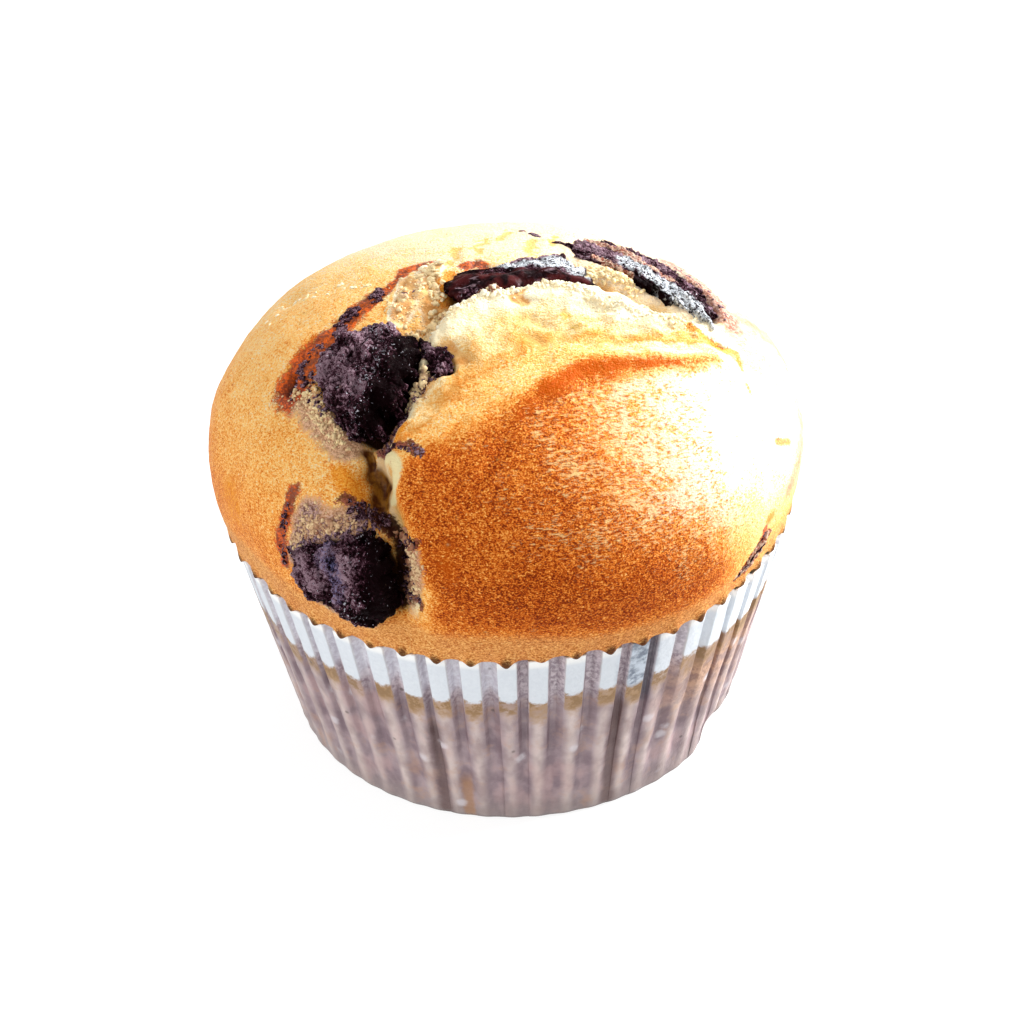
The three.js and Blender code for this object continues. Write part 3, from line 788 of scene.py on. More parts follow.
def pleat_depth(height):
    """Pleats deepen with the height, and are shallower still near the base."""
    deep = mixed(height / case_height, pleat_depth_at_base, pleat_depth_at_rim)
    return deep * mixed(smooth_step(height, 0, 9), 0.35, 1.0)


def dent_depth(azimuth, height):
    """A bell round the case and a flatter one up it."""
    offset = azimuth - dent["azimuth"]
    turn = np.arctan2(np.sin(offset), np.cos(offset))
    across = bell(case_base_radius * turn, dent["half_width"])
    return dent["depth"] * across * bell((height - dent["height"]) ** 2, dent["half_height"] ** 2)


def pleat_azimuth(pleat):
    """The azimuth of a place along the pleats. Whole numbers are the middles of ridges, and
    each pleat strays a little from an even spacing."""
    stray = pleat_shift * np.sin(4.7 * np.floor(pleat + 0.36))
    return first_ridge + pleat_pitch * (pleat + stray)


# The columns of one pleat, as shares of the pitch from the middle of its ridge.
pleat_phases = [-0.28, -0.26, -0.17, -0.06, 0.06, 0.17, 0.26, 0.28]
pleat_phases += [0.31, 0.37, 0.4, 0.44, 0.5, 0.56, 0.6, 0.63, 0.69]


def pleat_profile(phase, height):
    """How much of its depth a pleat is sunk: near the rim a flat ridge, a short slope and a
    flat valley, and lower down a wave."""
    side = np.abs(phase - np.round(phase))
    crisp = np.clip((side - 0.28) / 0.12, 0, 1)
    wave = 0.5 - 0.5 * np.cos(2 * math.pi * side)
    return mixed(smooth_step(height, 6, 21), wave, crisp)


def case_wall(heights, columns):
    """The wall's outer radius, its azimuth and its height, by rings and columns. The radius is
    the ridges' radius less the sunk share of the pleats' depth, and less the dent."""
    height, column = np.meshgrid(heights, columns, indexing="ij")
    azimuth = pleat_azimuth(column)
    sunk = pleat_profile(column, height) * pleat_depth(height)
    return case_radius(height) - sunk - dent_depth(azimuth, height), azimuth, height


def make_paper_case(finish):
    """The wall goes round by the pleats and up by its height, with faint creases pressed into
    it, and comes down again inside by the paper's thickness."""
    columns = (np.arange(pleat_count)[:, None] + np.array(pleat_phases)).ravel()
    low, high = [0, 0.15, 0.45, 0.9, 1.5], [case_height - 0.12, case_height]
    outer_heights = np.concatenate([low, np.linspace(2.1, case_height - 0.5, 44), high])
    wall, azimuth, height = case_wall(outer_heights, columns)
    spread = around(case_rim_radius, azimuth, height * 0.45)
    crease = 0.10 * noise(spread, 2.4, 61) + 0.07 * noise(spread, 1.1, 67)
    near_rim = smooth_step(height, 28.5, 30)
    wall = wall - np.abs(crease) * smooth_step(height, 0.5, 3) * (1 - near_rim * 0.6)
    lift = np.minimum(height + 0.10 * noise(spread, 3.0, 71) * near_rim, case_height + 0.1)
    inner_heights = np.array([case_height - 0.05, 24.0, 12.0, paper_thickness])
    inner_wall, inner_azimuth, inner_height = case_wall(inner_heights, columns)
    inner = around(inner_wall - paper_thickness, inner_azimuth, inner_height)
    net = np.concatenate([around(wall, azimuth, lift), inner])
    rows, count = net.shape[:2]
    points = np.concatenate([net.reshape(-1, 3), [[0, 0, 0], [0, 0, paper_thickness]]])
    # The pattern's coordinates: pleats round the wall, and height up it.
    run = np.append(columns, columns[0] + pleat_count)
    levels = np.concatenate([outer_heights, inner_heights])
    row, col = np.meshgrid(np.arange(rows - 1), np.arange(count), indexing="ij")
    quads = [(run[col + a], levels[row + b]) for a, b in ((0, 0), (1, 0), (1, 1), (0, 1))]
    uv = np.stack([np.stack(pair, -1) for pair in quads], 2).reshape(-1, 2)
    flat = np.zeros((3 * 2 * count, 2))
    uv = np.concatenate([uv, flat]) / [pleat_count, case_height]
    faces = ball_faces(rows, count)
    return make_piece("paper_case", points, faces, finish, ["paper_case"], uv=uv)


# --- Cake ---------------------------------------------------------------------------------------


def make_muffin(finish):
    """The top is a square grid bent into a disc ring by ring. Rings below its edge make the
    underside of the lip, the tapered side in the case, and the bottom."""
    half = top_cells // 2
    steps = np.arange(top_cells + 1) - half
    back, across = np.meshgrid(steps, steps, indexing="ij")
    ring = np.maximum(np.abs(across), np.abs(back))
    upright = np.abs(back) > np.abs(across)
    with np.errstate(divide="ignore", invalid="ignore"):
        side = math.pi / 4 * back / across + math.pi * (across < 0)
        ends = math.pi / 2 - math.pi / 4 * across / back + math.pi * (back < 0)
    azimuth = np.where(upright, ends, np.nan_to_num(side)).ravel()
    spread = np.interp(ring.ravel() / half, [0, 0.95, 1], [0, 0.965, 1])
    lowest = math.pi / 2 + math.asin((top_level - case_height - gap) / top_under_rise)
    polar = lowest * spread**1.2
    half_height = np.where(polar < math.pi / 2, top_rise, top_under_rise)
    raw = around(top_radius * np.sin(polar), azimuth, top_level + half_height * np.cos(polar))
    raw = raw + apex_shift * np.maximum(np.cos(polar), 0)[:, None]
    top, marks = cake_surface(*on_skin(raw))
    # Teeth of cake bulge out a little and hang down over the ridges of the paper.
    pleat = (azimuth - first_ridge) / pleat_pitch
    tooth = bell((pleat + 0.5) % 1 - 0.5, 0.2) * smooth_step(spread, 0.965, 1)
    tooth = tooth * (0.7 + 0.5 * noise(np.floor(pleat + 0.5)[:, None] * [1, 0, 0], 1.7, 51))
    top[:, 2] = np.maximum(top[:, 2], case_height + gap) - tooth_drop * tooth
    top = top + around(tooth_bulge * tooth, azimuth, 0 * azimuth)
    # The finish darkens the teeth nearly to black: painted shade under the overhang, and partly darker
    # baked crust.
    marks["tooth"] = tooth

    count = top_cells + 1
    at = np.arange(count * count).reshape(count, count)
    quads = np.stack([at[:-1, :-1], at[:-1, 1:], at[1:, 1:], at[1:, :-1]], -1).reshape(-1, 4)
    edge = np.concatenate([at[:-1, -1], at[-1, :0:-1], at[:0:-1, 0], at[0, :-1]])
    turn = azimuth[edge]
    floor = paper_thickness + gap
    valley = 0.4  # the depth of the valleys near the base, which the cake clears as well
    rings = []
    for radius, height in (
        (case_rim_radius - 2, case_height + gap - 0.4),
        (case_radius(2.2) - floor - valley, 2.2),
        (case_radius(1.5) - floor - valley - cake_corner_inset, floor),
    ):
        level = turn * 0 + height
        rings.append(around(radius - dent_depth(turn, level), turn, level))
    size = len(edge)
    points = np.concatenate([top, *rings, [[0, 0, floor]]])
    first = len(top)
    walls = ring_faces(3, size, first)[:, ::-1]
    below = first + np.arange(size)
    lip = np.stack([below, np.roll(below, -1), np.roll(edge, -1), edge], -1)
    bottom = fan_faces(len(points) - 1, below + 2 * size)[:, ::-1]
    faces = quads.tolist() + lip.tolist() + walls.tolist() + bottom.tolist()
    hidden = np.zeros(len(points) - first)
    marks = {name: np.concatenate([values, hidden]) for name, values in marks.items()}
    return make_piece("muffin", points, faces, finish, ["muffin"], marks)


def make_lump(name, lump, finish):
    """A round body whose outline is the lump's own: a point of a ball goes out to the outline
    by its distance from the ball's axis, and up or down by its height, above the skin there.
    Crumbs of two sizes then stand out along the surface's own normal, and so does a rope of
    melted chocolate along a chain."""
    middle, _, forward, left = lump_frame(lump)
    bed, rise, sink = lump["heights"]
    columns, rows = lump["grid"]
    tilt = np.linspace(-math.pi / 2, math.pi / 2, rows + 2)[:, None]
    turn = np.linspace(0, 1, columns, endpoint=False)[None, :]
    spread = np.cos(tilt) ** lump_fullness * np.ones_like(turn)
    up = np.sin(tilt) * np.ones_like(turn)
    height = np.where(up > 0, rise, -sink) * np.abs(up) ** lump_fullness
    edge = lump_outline(lump, turn + 0 * tilt)
    rim = middle + forward * edge[..., :1] + left * edge[..., 1:]
    fringe = lump["ragged"] * smooth_step(spread, 0.8, 1)
    edge = edge * (1 + 0.10 * fringe * rough_noise(rim, 1.6, 73, 3, 0.6))[..., None]
    plan = middle + forward * (edge[..., :1] * spread[..., None])
    plan = plan + left * (edge[..., 1:] * spread[..., None])
    places, normals = on_skin(plan)
    net = places + normals * (bed + height * (1 + 0.24 * crags(plan)))[..., None]
    body = net[1:-1]
    skin = [a[1:-1].reshape(-1, 3) for a in (places, normals)]
    marks = {mark: painted(*skin, chains) for mark, chains in chocolate_patches.items()}
    black = np.maximum(0.7 * marks["black"], marks["molten"]).reshape(rows, columns)
    clods = 0.5 - pebbles(body, 1.2, 83)
    grains = 0.5 - pebbles(body, 0.55, 89)
    splinters = np.abs(noise(body * [1, 1, 0.4], 0.45, 91)) + np.abs(noise(body, 0.8, 93))
    crumbled = 0.28 * clods + 0.42 * grains + 0.3 * (splinters - 0.4)
    drawn_out = body - 0.6 * ((body - middle) @ forward)[..., None] * forward
    bumps = lump["crumbs"] * crumbled * (1 - 0.85 * black)
    bumps = bumps + lump["ripples"] * rough_noise(drawn_out, 2.0, 97, 2)
    # Painted light and shade: the chocolate is lighter where it stands out and darker in its hollows.
    raised = 0.5 + 1.6 * crumbled + 0.5 * rough_noise(body, 2.0, 97, 2)
    marks["raised"] = np.clip(raised, 0, 1).ravel()
    if "rope" in lump:
        rope = painted(*skin, [(lump["rope"], rope_half_width)]).reshape(rows, columns)
        bumps += rope_height * rope * (0.75 + 0.5 * noise(body, 1.9, 59)) * (up[1:-1] > 0)
    body = body + surface_normals(body) * bumps[..., None]
    points = np.concatenate([body.reshape(-1, 3), net[0, :1], net[-1, :1]])
    marks = {mark: np.concatenate([values, values[[0, -1]]]) for mark, values in marks.items()}
    return make_piece(name, points, ball_faces(rows, columns), finish, [name], marks)


def make_crumbs(name, finish, chains, seed, mark="tone"):
    """Bits with ragged outlines that lie on the cake's surface along some chains. A bit's
    outline is a circle with waves of two, three and five lobes, its height falls off from the
    middle, and the whole follows the skin. A chain has its half width, a count, a size, a
    flatness and a tone."""
    draw = np.random.default_rng(seed)
    rows, columns = 5, 10
    tilt = np.linspace(-math.pi / 2, math.pi / 2, rows + 2)
    turn = np.linspace(0, 2 * math.pi, columns, endpoint=False)
    spread = np.concatenate([np.repeat(np.cos(tilt[1:-1]) ** 0.8, columns), [0, 0]])
    up = np.concatenate([np.repeat(np.sin(tilt[1:-1]), columns), [-1, 1]])
    bearing = np.concatenate([np.tile(turn, rows), [0, 0]])
    size_of_bit = rows * columns + 2
    bit_faces = ball_faces(rows, columns)
    points, tones = [], []
    for chain, half_width, count, size, flatness, tone in chains:
        line = curve_through(chain, draw.random(count))
        line = line + draw.normal(0, half_width, (count, 3))
        places, normals = on_skin(line)
        lift = ((cake_surface(places, normals)[0] - places) * normals).sum(axis=-1)
        first = unit(np.cross(normals, unit(draw.normal(size=(count, 3)))))
        second = np.cross(normals, first)
        radius = size * np.exp(draw.normal(0, 0.4, count))[:, None] / 2
        outline = 1
        for lobes, height in ((2, 0.30), (3, 0.22), (5, 0.16)):
            start = draw.random((count, 1)) * 2 * math.pi
            outline = outline + height * np.sin(lobes * bearing + start)
        reach = radius * spread * outline
        along = (reach * np.cos(bearing))[..., None] * first[:, None]
        across = (reach * np.sin(bearing))[..., None] * second[:, None]
        draped, outward = on_skin(places[:, None] + along + across)
        dents = 1 + 0.5 * noise(draped, 0.5 * size, 5)
        rise = lift[:, None] + radius * flatness * (up * dents + 0.2)
        points.append((draped + outward * rise[..., None]).reshape(-1, 3))
        tones += list(np.clip(tone + draw.normal(0, 0.08, count), 0, 1))
    starts = range(0, len(tones) * size_of_bit, size_of_bit)
    faces = [[corner + start for corner in face] for start in starts for face in bit_faces]
    # Painted light and shade: the bits are lighter on top than below.
    marks = {mark: np.repeat(tones, size_of_bit), "raised": np.tile(0.38 + 0.3 * up, len(tones))}
    return make_piece(name, np.concatenate(points), faces, finish, marks=marks)


# --- Finishes -----------------------------------------------------------------------------------


class Wire:
    """A socket of a finish. Sums, differences and products of wires add Math nodes."""

    def __init__(self, finish, socket):
        self.finish = finish
        self.socket = socket

    def math(self, operation, *values):
        node = self.finish.node("ShaderNodeMath", {"operation": operation}, dict(enumerate(values)))
        return Wire(self.finish, node.outputs[0])

    def __add__(self, other):
        return self.math("ADD", self, other)

    def __sub__(self, other):
        return self.math("SUBTRACT", self, other)

    def __mul__(self, other):
        return self.math("MULTIPLY", self, other)

    def __rsub__(self, other):
        return self.math("SUBTRACT", other, self)

    __radd__ = __add__
    __rmul__ = __mul__

    def away(self, value):
        """How far it is from a value, either way."""
        return self.math("ABSOLUTE", self - value)

    def fraction(self):
        return self.math("FRACT", self)

    def or_more(self, other):
        """The greater of the two."""
        return self.math("MAXIMUM", self, other)

    def step(self, start, end):
        """0 before start, 1 after end, and a smooth rise between them."""
        settings = {"interpolation_type": "SMOOTHSTEP"}
        values = {"Value": self, "From Min": start, "From Max": end}
        node = self.finish.node("ShaderNodeMapRange", settings, values)
        return Wire(self.finish, node.outputs[0])


class Finish:
    """A material that is being put together around one Principled shader."""

    def __init__(self, name):
        self.material = bpy.data.materials.new(name)
        self.material.use_nodes = True
        self.tree = self.material.node_tree
        self.shader = self.tree.nodes["Principled BSDF"]

    def node(self, kind, settings=None, sockets=None):
        """Adds a node, sets its settings, and then the values or links of its sockets."""
        node = self.tree.nodes.new(kind)
        for key, value in (settings or {}).items():
            if key == "stops":
                ramp = node.color_ramp
                while len(ramp.elements) < len(value):
                    ramp.elements.new(0.5)
                for element, (place, colour) in zip(ramp.elements, value):
                    element.position = place
                    element.color = (*colour, 1)
            else:
                setattr(node, key, value)
        for key, value in (sockets or {}).items():
            self.plug(node.inputs[key], value)
        return node

    def plug(self, socket, value):
        if isinstance(value, Wire):
            self.tree.links.new(value.socket, socket)
        else:
            socket.default_value = value

    def wire(self, node, output=0):
        return Wire(self, node.outputs[output])

    def mark(self, name):
        node = self.node("ShaderNodeAttribute", {"attribute_name": name})
        return self.wire(node, "Fac")

    def place(self, scale=None):
        """Object coordinates, or these times a factor for each axis."""
        place = self.wire(self.node("ShaderNodeTexCoord"), "Object")
        if scale is None:
            return place
        settings = {"operation": "MULTIPLY"}
        return self.wire(self.node("ShaderNodeVectorMath", settings, {0: place, 1: scale}))

    def grain(self, size, detail=2, roughness=0.5, warp=0, where=None):
        """Noise from 0 to 1, with features of a size in millimetres."""
        sockets = {
            "Vector": where or self.place(),
            "Scale": 1 / (size * METRES),
            "Detail": detail,
            "Roughness": roughness,
            "Distortion": warp,
        }
        return self.wire(self.node("ShaderNodeTexNoise", None, sockets))

    def specks(self, size):
        """The distance to the nearest of scattered points, as a share of their spacing."""
        sockets = {"Vector": self.place(), "Scale": 1 / (size * METRES)}
        return self.wire(self.node("ShaderNodeTexVoronoi", None, sockets), "Distance")

    def shown(self, name, fray, start, end):
        """Where a mark with a frayed edge shows: 0 before start, and 1 after end."""
        return (self.mark(name) + fray).step(start, end)

    def ramp(self, value, stops):
        """A colour by a value, from places and colours between them."""
        stops = [(place, colour(*parts)) for place, *parts in stops]
        return self.wire(self.node("ShaderNodeValToRGB", {"stops": stops}, {"Fac": value}))

    def blend(self, share, low, high):
        """From the low colour to the high one by a share."""
        node = self.node("ShaderNodeMix", {"data_type": "RGBA"}, {"Factor": share})
        for key, value in (("A", low), ("B", high)):
            socket = [s for s in node.inputs if s.name == key and s.type == "RGBA"][0]
            self.plug(socket, (*value, 1) if isinstance(value, tuple) else value)
        return Wire(self, [s for s in node.outputs if s.type == "RGBA"][0])

    def cover(self, tint, layers):
        """A colour under layers, each a share and a colour, that lie one on another."""
        for share, over in layers:
            tint = self.blend(share, tint, over)
        return tint

    def bump(self, height, distance, strength=1.0):
        """A normal from a height of 0 to 1, over a distance in millimetres."""
        sockets = {"Height": height, "Distance": distance * METRES, "Strength": strength}
        return self.wire(self.node("ShaderNodeBump", None, sockets))

    def shade(self, **values):
        for key, value in values.items():
            socket = key.replace("_", " ").title().replace("Ior", "IOR")
            self.plug(self.shader.inputs[socket], value)
        return self.material


def colour(red, green, blue):
    """A colour as a screen shows it, from 0 to 255, as light."""
    parts = np.array([red, green, blue]) / 255
    return tuple(np.where(parts > 0.04045, ((parts + 0.055) / 1.055) ** 2.4, parts / 12.92))


def crust_finish():
    """Browned crust with flecks of painted glare, torn crumb over it, and over both the patches."""
    finish = Finish("crust")
    across = finish.place((1, 1, 1.6))
    tiny = finish.grain(0.22, 2, 0.6, 0, across)
    fine = finish.grain(0.42, 2, 0.6, 0.4, across)
    middle = finish.grain(1.4)
    broad = finish.grain(4.5)
    flecks = finish.grain(0.4, 2, 0.6, 0.3, finish.place((0.4, 1.1, 2.0)))
    tiny_wave, fine_wave, wave, broad_wave = (grain - 0.5 for grain in (tiny, fine, middle, broad))
    speckle = tiny_wave * 1.5 + fine_wave * 0.9 + wave * 0.22 + broad_wave * 0.12
    spotted = (speckle + 0.5).step(0.2, 0.8)

    level = finish.mark("bake")
    sheen = finish.mark("sheen")
    # Painted shade browns the creases a little, and the crust is paler under the painted glare.
    bake = level + speckle * (0.46 + level * 0.9) + finish.mark("crease") * 0.07 - sheen * 0.12
    baked = finish.ramp(
        bake,
        [
            (0.0, 236, 216, 188),
            (0.2, 250, 206, 126),
            (0.4, 242, 162, 72),
            (0.6, 216, 114, 34),
            (0.8, 180, 74, 14),
            (1.0, 108, 36, 8),
        ],
    )
    toast = finish.blend(spotted, colour(232, 178, 114), colour(176, 116, 62))
    # Painted highlight: pale flecks of the window's glare, as dense as the painted glare is strong.
    painted_glint = (flecks - 0.5) * 2.1 + tiny_wave * 0.7 + wave * 0.8 + broad_wave * 0.9
    painted_glint = (sheen + painted_glint).step(0.42, 1.0)
    painted_glare_colour = finish.blend(sheen.step(0.5, 1.0), colour(244, 198, 132), colour(252, 242, 226))
    # Partly painted shade along the right outline, partly darker baking.
    golden = finish.shown("golden", wave * 1.2 + speckle * 0.3, 0.2, 1.1)
    orange = finish.shown("orange", speckle * 0.8 + wave * 0.5, 0.1, 1.0)
    baked = finish.cover(
        baked,
        [
            (finish.shown("rim", fine_wave * 0.8, 0.2, 1.0) * 0.55, toast),
            (orange * 0.95, colour(190, 80, 0)),
            (painted_glint * 0.9, painted_glare_colour),
            (golden * 0.8, colour(160, 124, 96)),
        ],
    )

    stretch = finish.mark("stretch") + speckle * 0.5 + finish.mark("streak") * 0.15
    pale = finish.ramp(
        stretch + broad_wave * 0.5 + 0.07,
        [
            (0.0, 252, 244, 216),
            (0.4, 250, 234, 194),
            (0.56, 242, 210, 152),
            (0.75, 230, 168, 88),
            (1.0, 214, 124, 42),
        ],
    )
    pale = finish.cover(
        pale,
        [
            (finish.shown("crack", fine_wave * 0.4, 0.2, 0.8) * 0.7, colour(206, 158, 96)),
            # Painted shade: the crumb's hollows are darker and yellower.
            (finish.shown("hollow", fine_wave * 0.5, 0.25, 0.9) * 0.5, colour(228, 186, 112)),
        ],
    )
    crumb = finish.shown("crumb", fine_wave * 0.5, 0.3, 0.6)
    tint = finish.blend(crumb, baked, pale)

    peach = finish.blend(middle.step(0.4, 0.6), colour(212, 146, 76), colour(242, 190, 120))
    pink = finish.blend(fine.step(0.4, 0.6), colour(150, 76, 62), colour(206, 168, 152))
    toffee = finish.blend(spotted, colour(242, 164, 40), colour(216, 108, 10))
    grit = (tiny * 0.5 + fine * 0.5).step(0.42, 0.58)
    dusty = finish.blend(grit, colour(156, 102, 80), colour(224, 186, 156))
    grey = finish.blend(grit, colour(88, 58, 60), colour(186, 152, 146))
    burning = (fine * 0.6 + middle * 0.4).step(0.44, 0.62)
    burnt = finish.blend(burning, colour(122, 36, 22), colour(228, 92, 14))
    dark = finish.blend(fine.step(0.4, 0.65), colour(72, 24, 24), colour(150, 84, 74))
    glass = finish.blend(middle.step(0.4, 0.65), colour(78, 36, 8), colour(138, 90, 26))
    shown = {}
    for mark, fray, start, end, strength, over in (
        # Tan and yellow hollows are partly painted shade.
        ("tan", fine_wave * 0.6 + wave * 0.4, 0.3, 0.8, 0.92, peach),
        ("yellow", fine_wave * 0.6 + wave * 2.4, 0.45, 1.0, 0.7, colour(214, 172, 62)),
        ("cream", fine_wave * 0.6, 0.3, 0.7, 0.9, colour(234, 222, 172)),
        ("rosy", wave * 1.2 + fine_wave * 0.8, 0.35, 0.7, 0.85, pink),
        ("caramel", speckle * 0.6, 0.2, 0.8, 0.85, toffee),
        ("haze", wave * 0.8 + fine_wave * 0.5, 0.25, 0.75, 0.85, dusty),
        ("mauve", wave * 0.8 + fine_wave * 0.5, 0.3, 0.8, 0.85, grey),
        ("melt", wave * 0.9 + speckle * 0.4, 0.25, 0.6, 0.92, burnt),
        ("cocoa", wave * 1.2 + speckle * 0.6, 0.4, 0.7, 0.9, dark),
        ("pit", 0, 0.2, 0.7, 1, glass),
    ):
        shown[mark] = finish.shown(mark, fray, start, end)
        tint = finish.blend(shown[mark] * strength, tint, over)
    # Painted shade: the gaps beside the chunks, the beds round them and the teeth hanging over the paper
    # go nearly black; the teeth are partly darker baked crust too.
    deep = finish.shown("gap", fine_wave * 0.6, 0.35, 0.75).or_more(finish.shown("bed", 0, 0.35, 0.9))
    deep = deep.or_more(finish.shown("tooth", speckle * 0.2, 0.25, 0.6) * 0.85)
    tint = finish.blend(deep * 0.97, tint, colour(40, 12, 10))

    melt, caramel, pit = shown["melt"], shown["caramel"], shown["pit"]
    dullness = 0.5 - melt * 0.25 - caramel * 0.15 - pit * 0.3 + finish.mark("crumb") * 0.4
    glare = sheen.step(0.7, 1) * painted_glint * (1 - crumb) * (1 - caramel) * (1 - golden) * 0.3
    return finish.shade(
        base_color=tint,
        roughness=dullness,
        normal=finish.bump(tiny * 0.5 + fine * 0.5 + middle * 0.5, 0.4, 0.8),
        specular_ior_level=0.04,
        coat_weight=glare.or_more((pit * 0.25).or_more(melt * 0.3)),
        coat_roughness=0.38,
    )


def paper_finish():
    """White where the ridges are dry at the top, an ochre spot of fat under each, and soaked
    paper below, lighter on the ridges and with painted shade darkening the valleys."""
    finish = Finish("paper")
    turns = finish.node("ShaderNodeSeparateXYZ", None, {0: finish.wire(finish.node("ShaderNodeUVMap"))})
    turn = finish.wire(turns, 0)
    pleat = turn * pleat_count
    height = finish.wire(turns, 1) * case_height
    # Pleats from the front, where those on the right count up from 0 and those on the left down.
    from_front = ((turn + 0.5).fraction() - 0.5) * pleat_count
    moved = pleat + 0.5
    side = (moved.fraction() - 0.5).away(0)
    number = moved.math("FLOOR", moved)
    # Two random numbers for each pleat.
    random = finish.node("ShaderNodeTexWhiteNoise", {"noise_dimensions": "1D"}, {"W": number})
    own = finish.wire(random)
    other = finish.wire(finish.node("ShaderNodeSeparateColor", None, {0: finish.wire(random, 1)}), 1)
    grain = finish.grain(0.6, 3, 0.65)
    blot = finish.grain(2.2, 3, 0.6)
    broad = finish.grain(8)
    drawn = finish.node("ShaderNodeCombineXYZ", None, {0: pleat * 0.002, 1: height * 0.00028})
    smear = finish.grain(1.2, 2, 0.5, 0, finish.wire(drawn))
    grain_wave, blot_wave = grain - 0.5, blot - 0.5
    even = grain.step(0.35, 0.65)

    flat = 1 - (side + grain_wave * 0.05).step(0.26, 0.32)
    # On the right the fat reached the valleys too, and the white runs across them.
    right = from_front.away(9).step(3.4, 2.4)
    flat = flat.or_more(right * (blot * 0.5 + own * 0.5).step(0.3, 0.5))
    crest = 1 - (side + blot_wave * 0.2).step(0.02, 0.32)
    start = 22.0 + own * 1.4 + grain_wave * 1.3 + blot_wave * 1.6
    start = start - (0 - from_front).step(2, 7) * 0.7 + side * side * 6 * (1 - right)
    above = height - start
    dry = flat * above.step(-0.35, 0.35)
    soaked_ridge = flat * (1 - dry)

    mottle = (smear * 0.65 + blot * 0.35).step(0.34, 0.66)
    low = finish.blend(mottle, colour(118, 96, 104), colour(162, 142, 146))
    high = finish.blend(mottle, colour(168, 146, 142), colour(212, 196, 190))
    # Valleys darker than ridges: painted shade on the soaked paper.
    soaked_and_shaded = finish.blend(crest * (0.5 + 0.5 * other), low, high)
    # Broad stains on the right run over the valleys as well.
    stained = (1 - pleat.away(7.8).step(1.2, 3.2)) * height.step(8, 19)
    stained = stained * (0.45 + 0.55 * (blot * 0.5 + smear * 0.5).step(0.4, 0.58))
    blotted = (blot * 0.6 + grain * 0.4).step(0.42, 0.58)
    brownish = finish.blend(blotted, colour(136, 92, 60), colour(196, 152, 118))
    # Fat shows as ochre under the white, and in spots.
    spotted = (blot * 0.5 + grain * 0.25 + other * 0.25).step(0.36, 0.56)
    under = soaked_ridge * (above + blot_wave * 5).step(-4.2, -1.6) * (0.4 + 0.6 * spotted)
    spots = (grain * 0.4 + blot * 0.6).step(0.47, 0.55) * (above + blot_wave * 4).step(-3.0, -1.4)
    layers = [
        ((smear * 0.5 + broad * 0.5).step(0.5, 0.62) * 0.3, colour(178, 134, 128)),
        ((1 - height.step(0.5, 6)) * 0.6, colour(134, 120, 116)),
        ((blot * 0.6 + (1 - broad) * 0.4).step(0.52, 0.66) * 0.4, colour(172, 128, 96)),
        (stained * 0.85, brownish),
        (under, colour(160, 124, 82)),
        (spots * soaked_ridge * 0.8, colour(128, 94, 50)),
    ]
    # Two valleys are soaked dark up to a height, and a drip runs down a third.
    for at, top in ((-2.5, 19), (3.55, 21.5)):
        beside_it = (from_front.away(at) + blot_wave * 0.3).step(0.12, 0.46)
        layers.append(((1 - beside_it) * (1 - height.step(top - 3, top)) * 0.8, colour(92, 64, 60)))
    drip = (1 - (from_front.away(-1.55) + blot_wave * 0.3).step(0.1, 0.3)) * (1 - height.step(6, 9))
    # The valleys are greyed with painted shade in front, and pale at the sides.
    valley_shade = finish.blend(even, colour(140, 124, 134), colour(206, 194, 200))
    pale = finish.blend(even, colour(196, 192, 202), colour(220, 220, 228))
    valley_shade = finish.blend(pleat.away(0.6).step(3.6, 6.5) * above.step(-0.5, 1.5), valley_shade, pale)
    flecks = 1 - (finish.specks(5.2) + grain_wave * 0.12).step(0.06, 0.2)
    crumbs = 1 - finish.specks(4.1).step(0.04, 0.09)
    damp_valley = 1 - from_front.away(4.5).step(0.14, 0.26)
    layers += [
        (drip * 0.7, colour(158, 112, 70)),
        ((1 - flat) * above.step(-4.5, 0.5) * 0.9, valley_shade),
        (flecks * 0.55 * (1 - dry), colour(214, 208, 214)),
        # Painted shadow: a dark line along the foot of the case.
        ((1 - height.step(0.1, 0.9)) * 0.6, colour(84, 74, 70)),
        (crumbs * 0.6, colour(70, 56, 52)),
        (damp_valley * (height + blot_wave * 6).step(16.5, 19) * 0.75, colour(88, 86, 98)),
    ]
    # One ridge is wet through, and its white is blotted grey.
    wet = 1 - pleat.away(4).step(0.5, 0.9)
    patchy = (grain * 0.35 + blot * 0.65 + side * 0.1).step(0.42, 0.62)
    blue = finish.blend(patchy, colour(92, 102, 120), colour(188, 198, 210))
    # The white brightens in its top millimetre: a painted highlight along the rim.
    white = finish.cover(
        finish.blend(grain, colour(198, 204, 212), colour(220, 225, 230)),
        [(height.step(28.4, 29.4) * 0.7, colour(250, 248, 244)), (wet * 0.9, blue)],
    )
    return finish.shade(
        base_color=finish.blend(dry, finish.cover(soaked_and_shaded, layers), white),
        roughness=0.5 + dry * 0.2,
        normal=finish.bump(grain * 0.6 + blot * 0.8, 0.2, 0.7),
    )


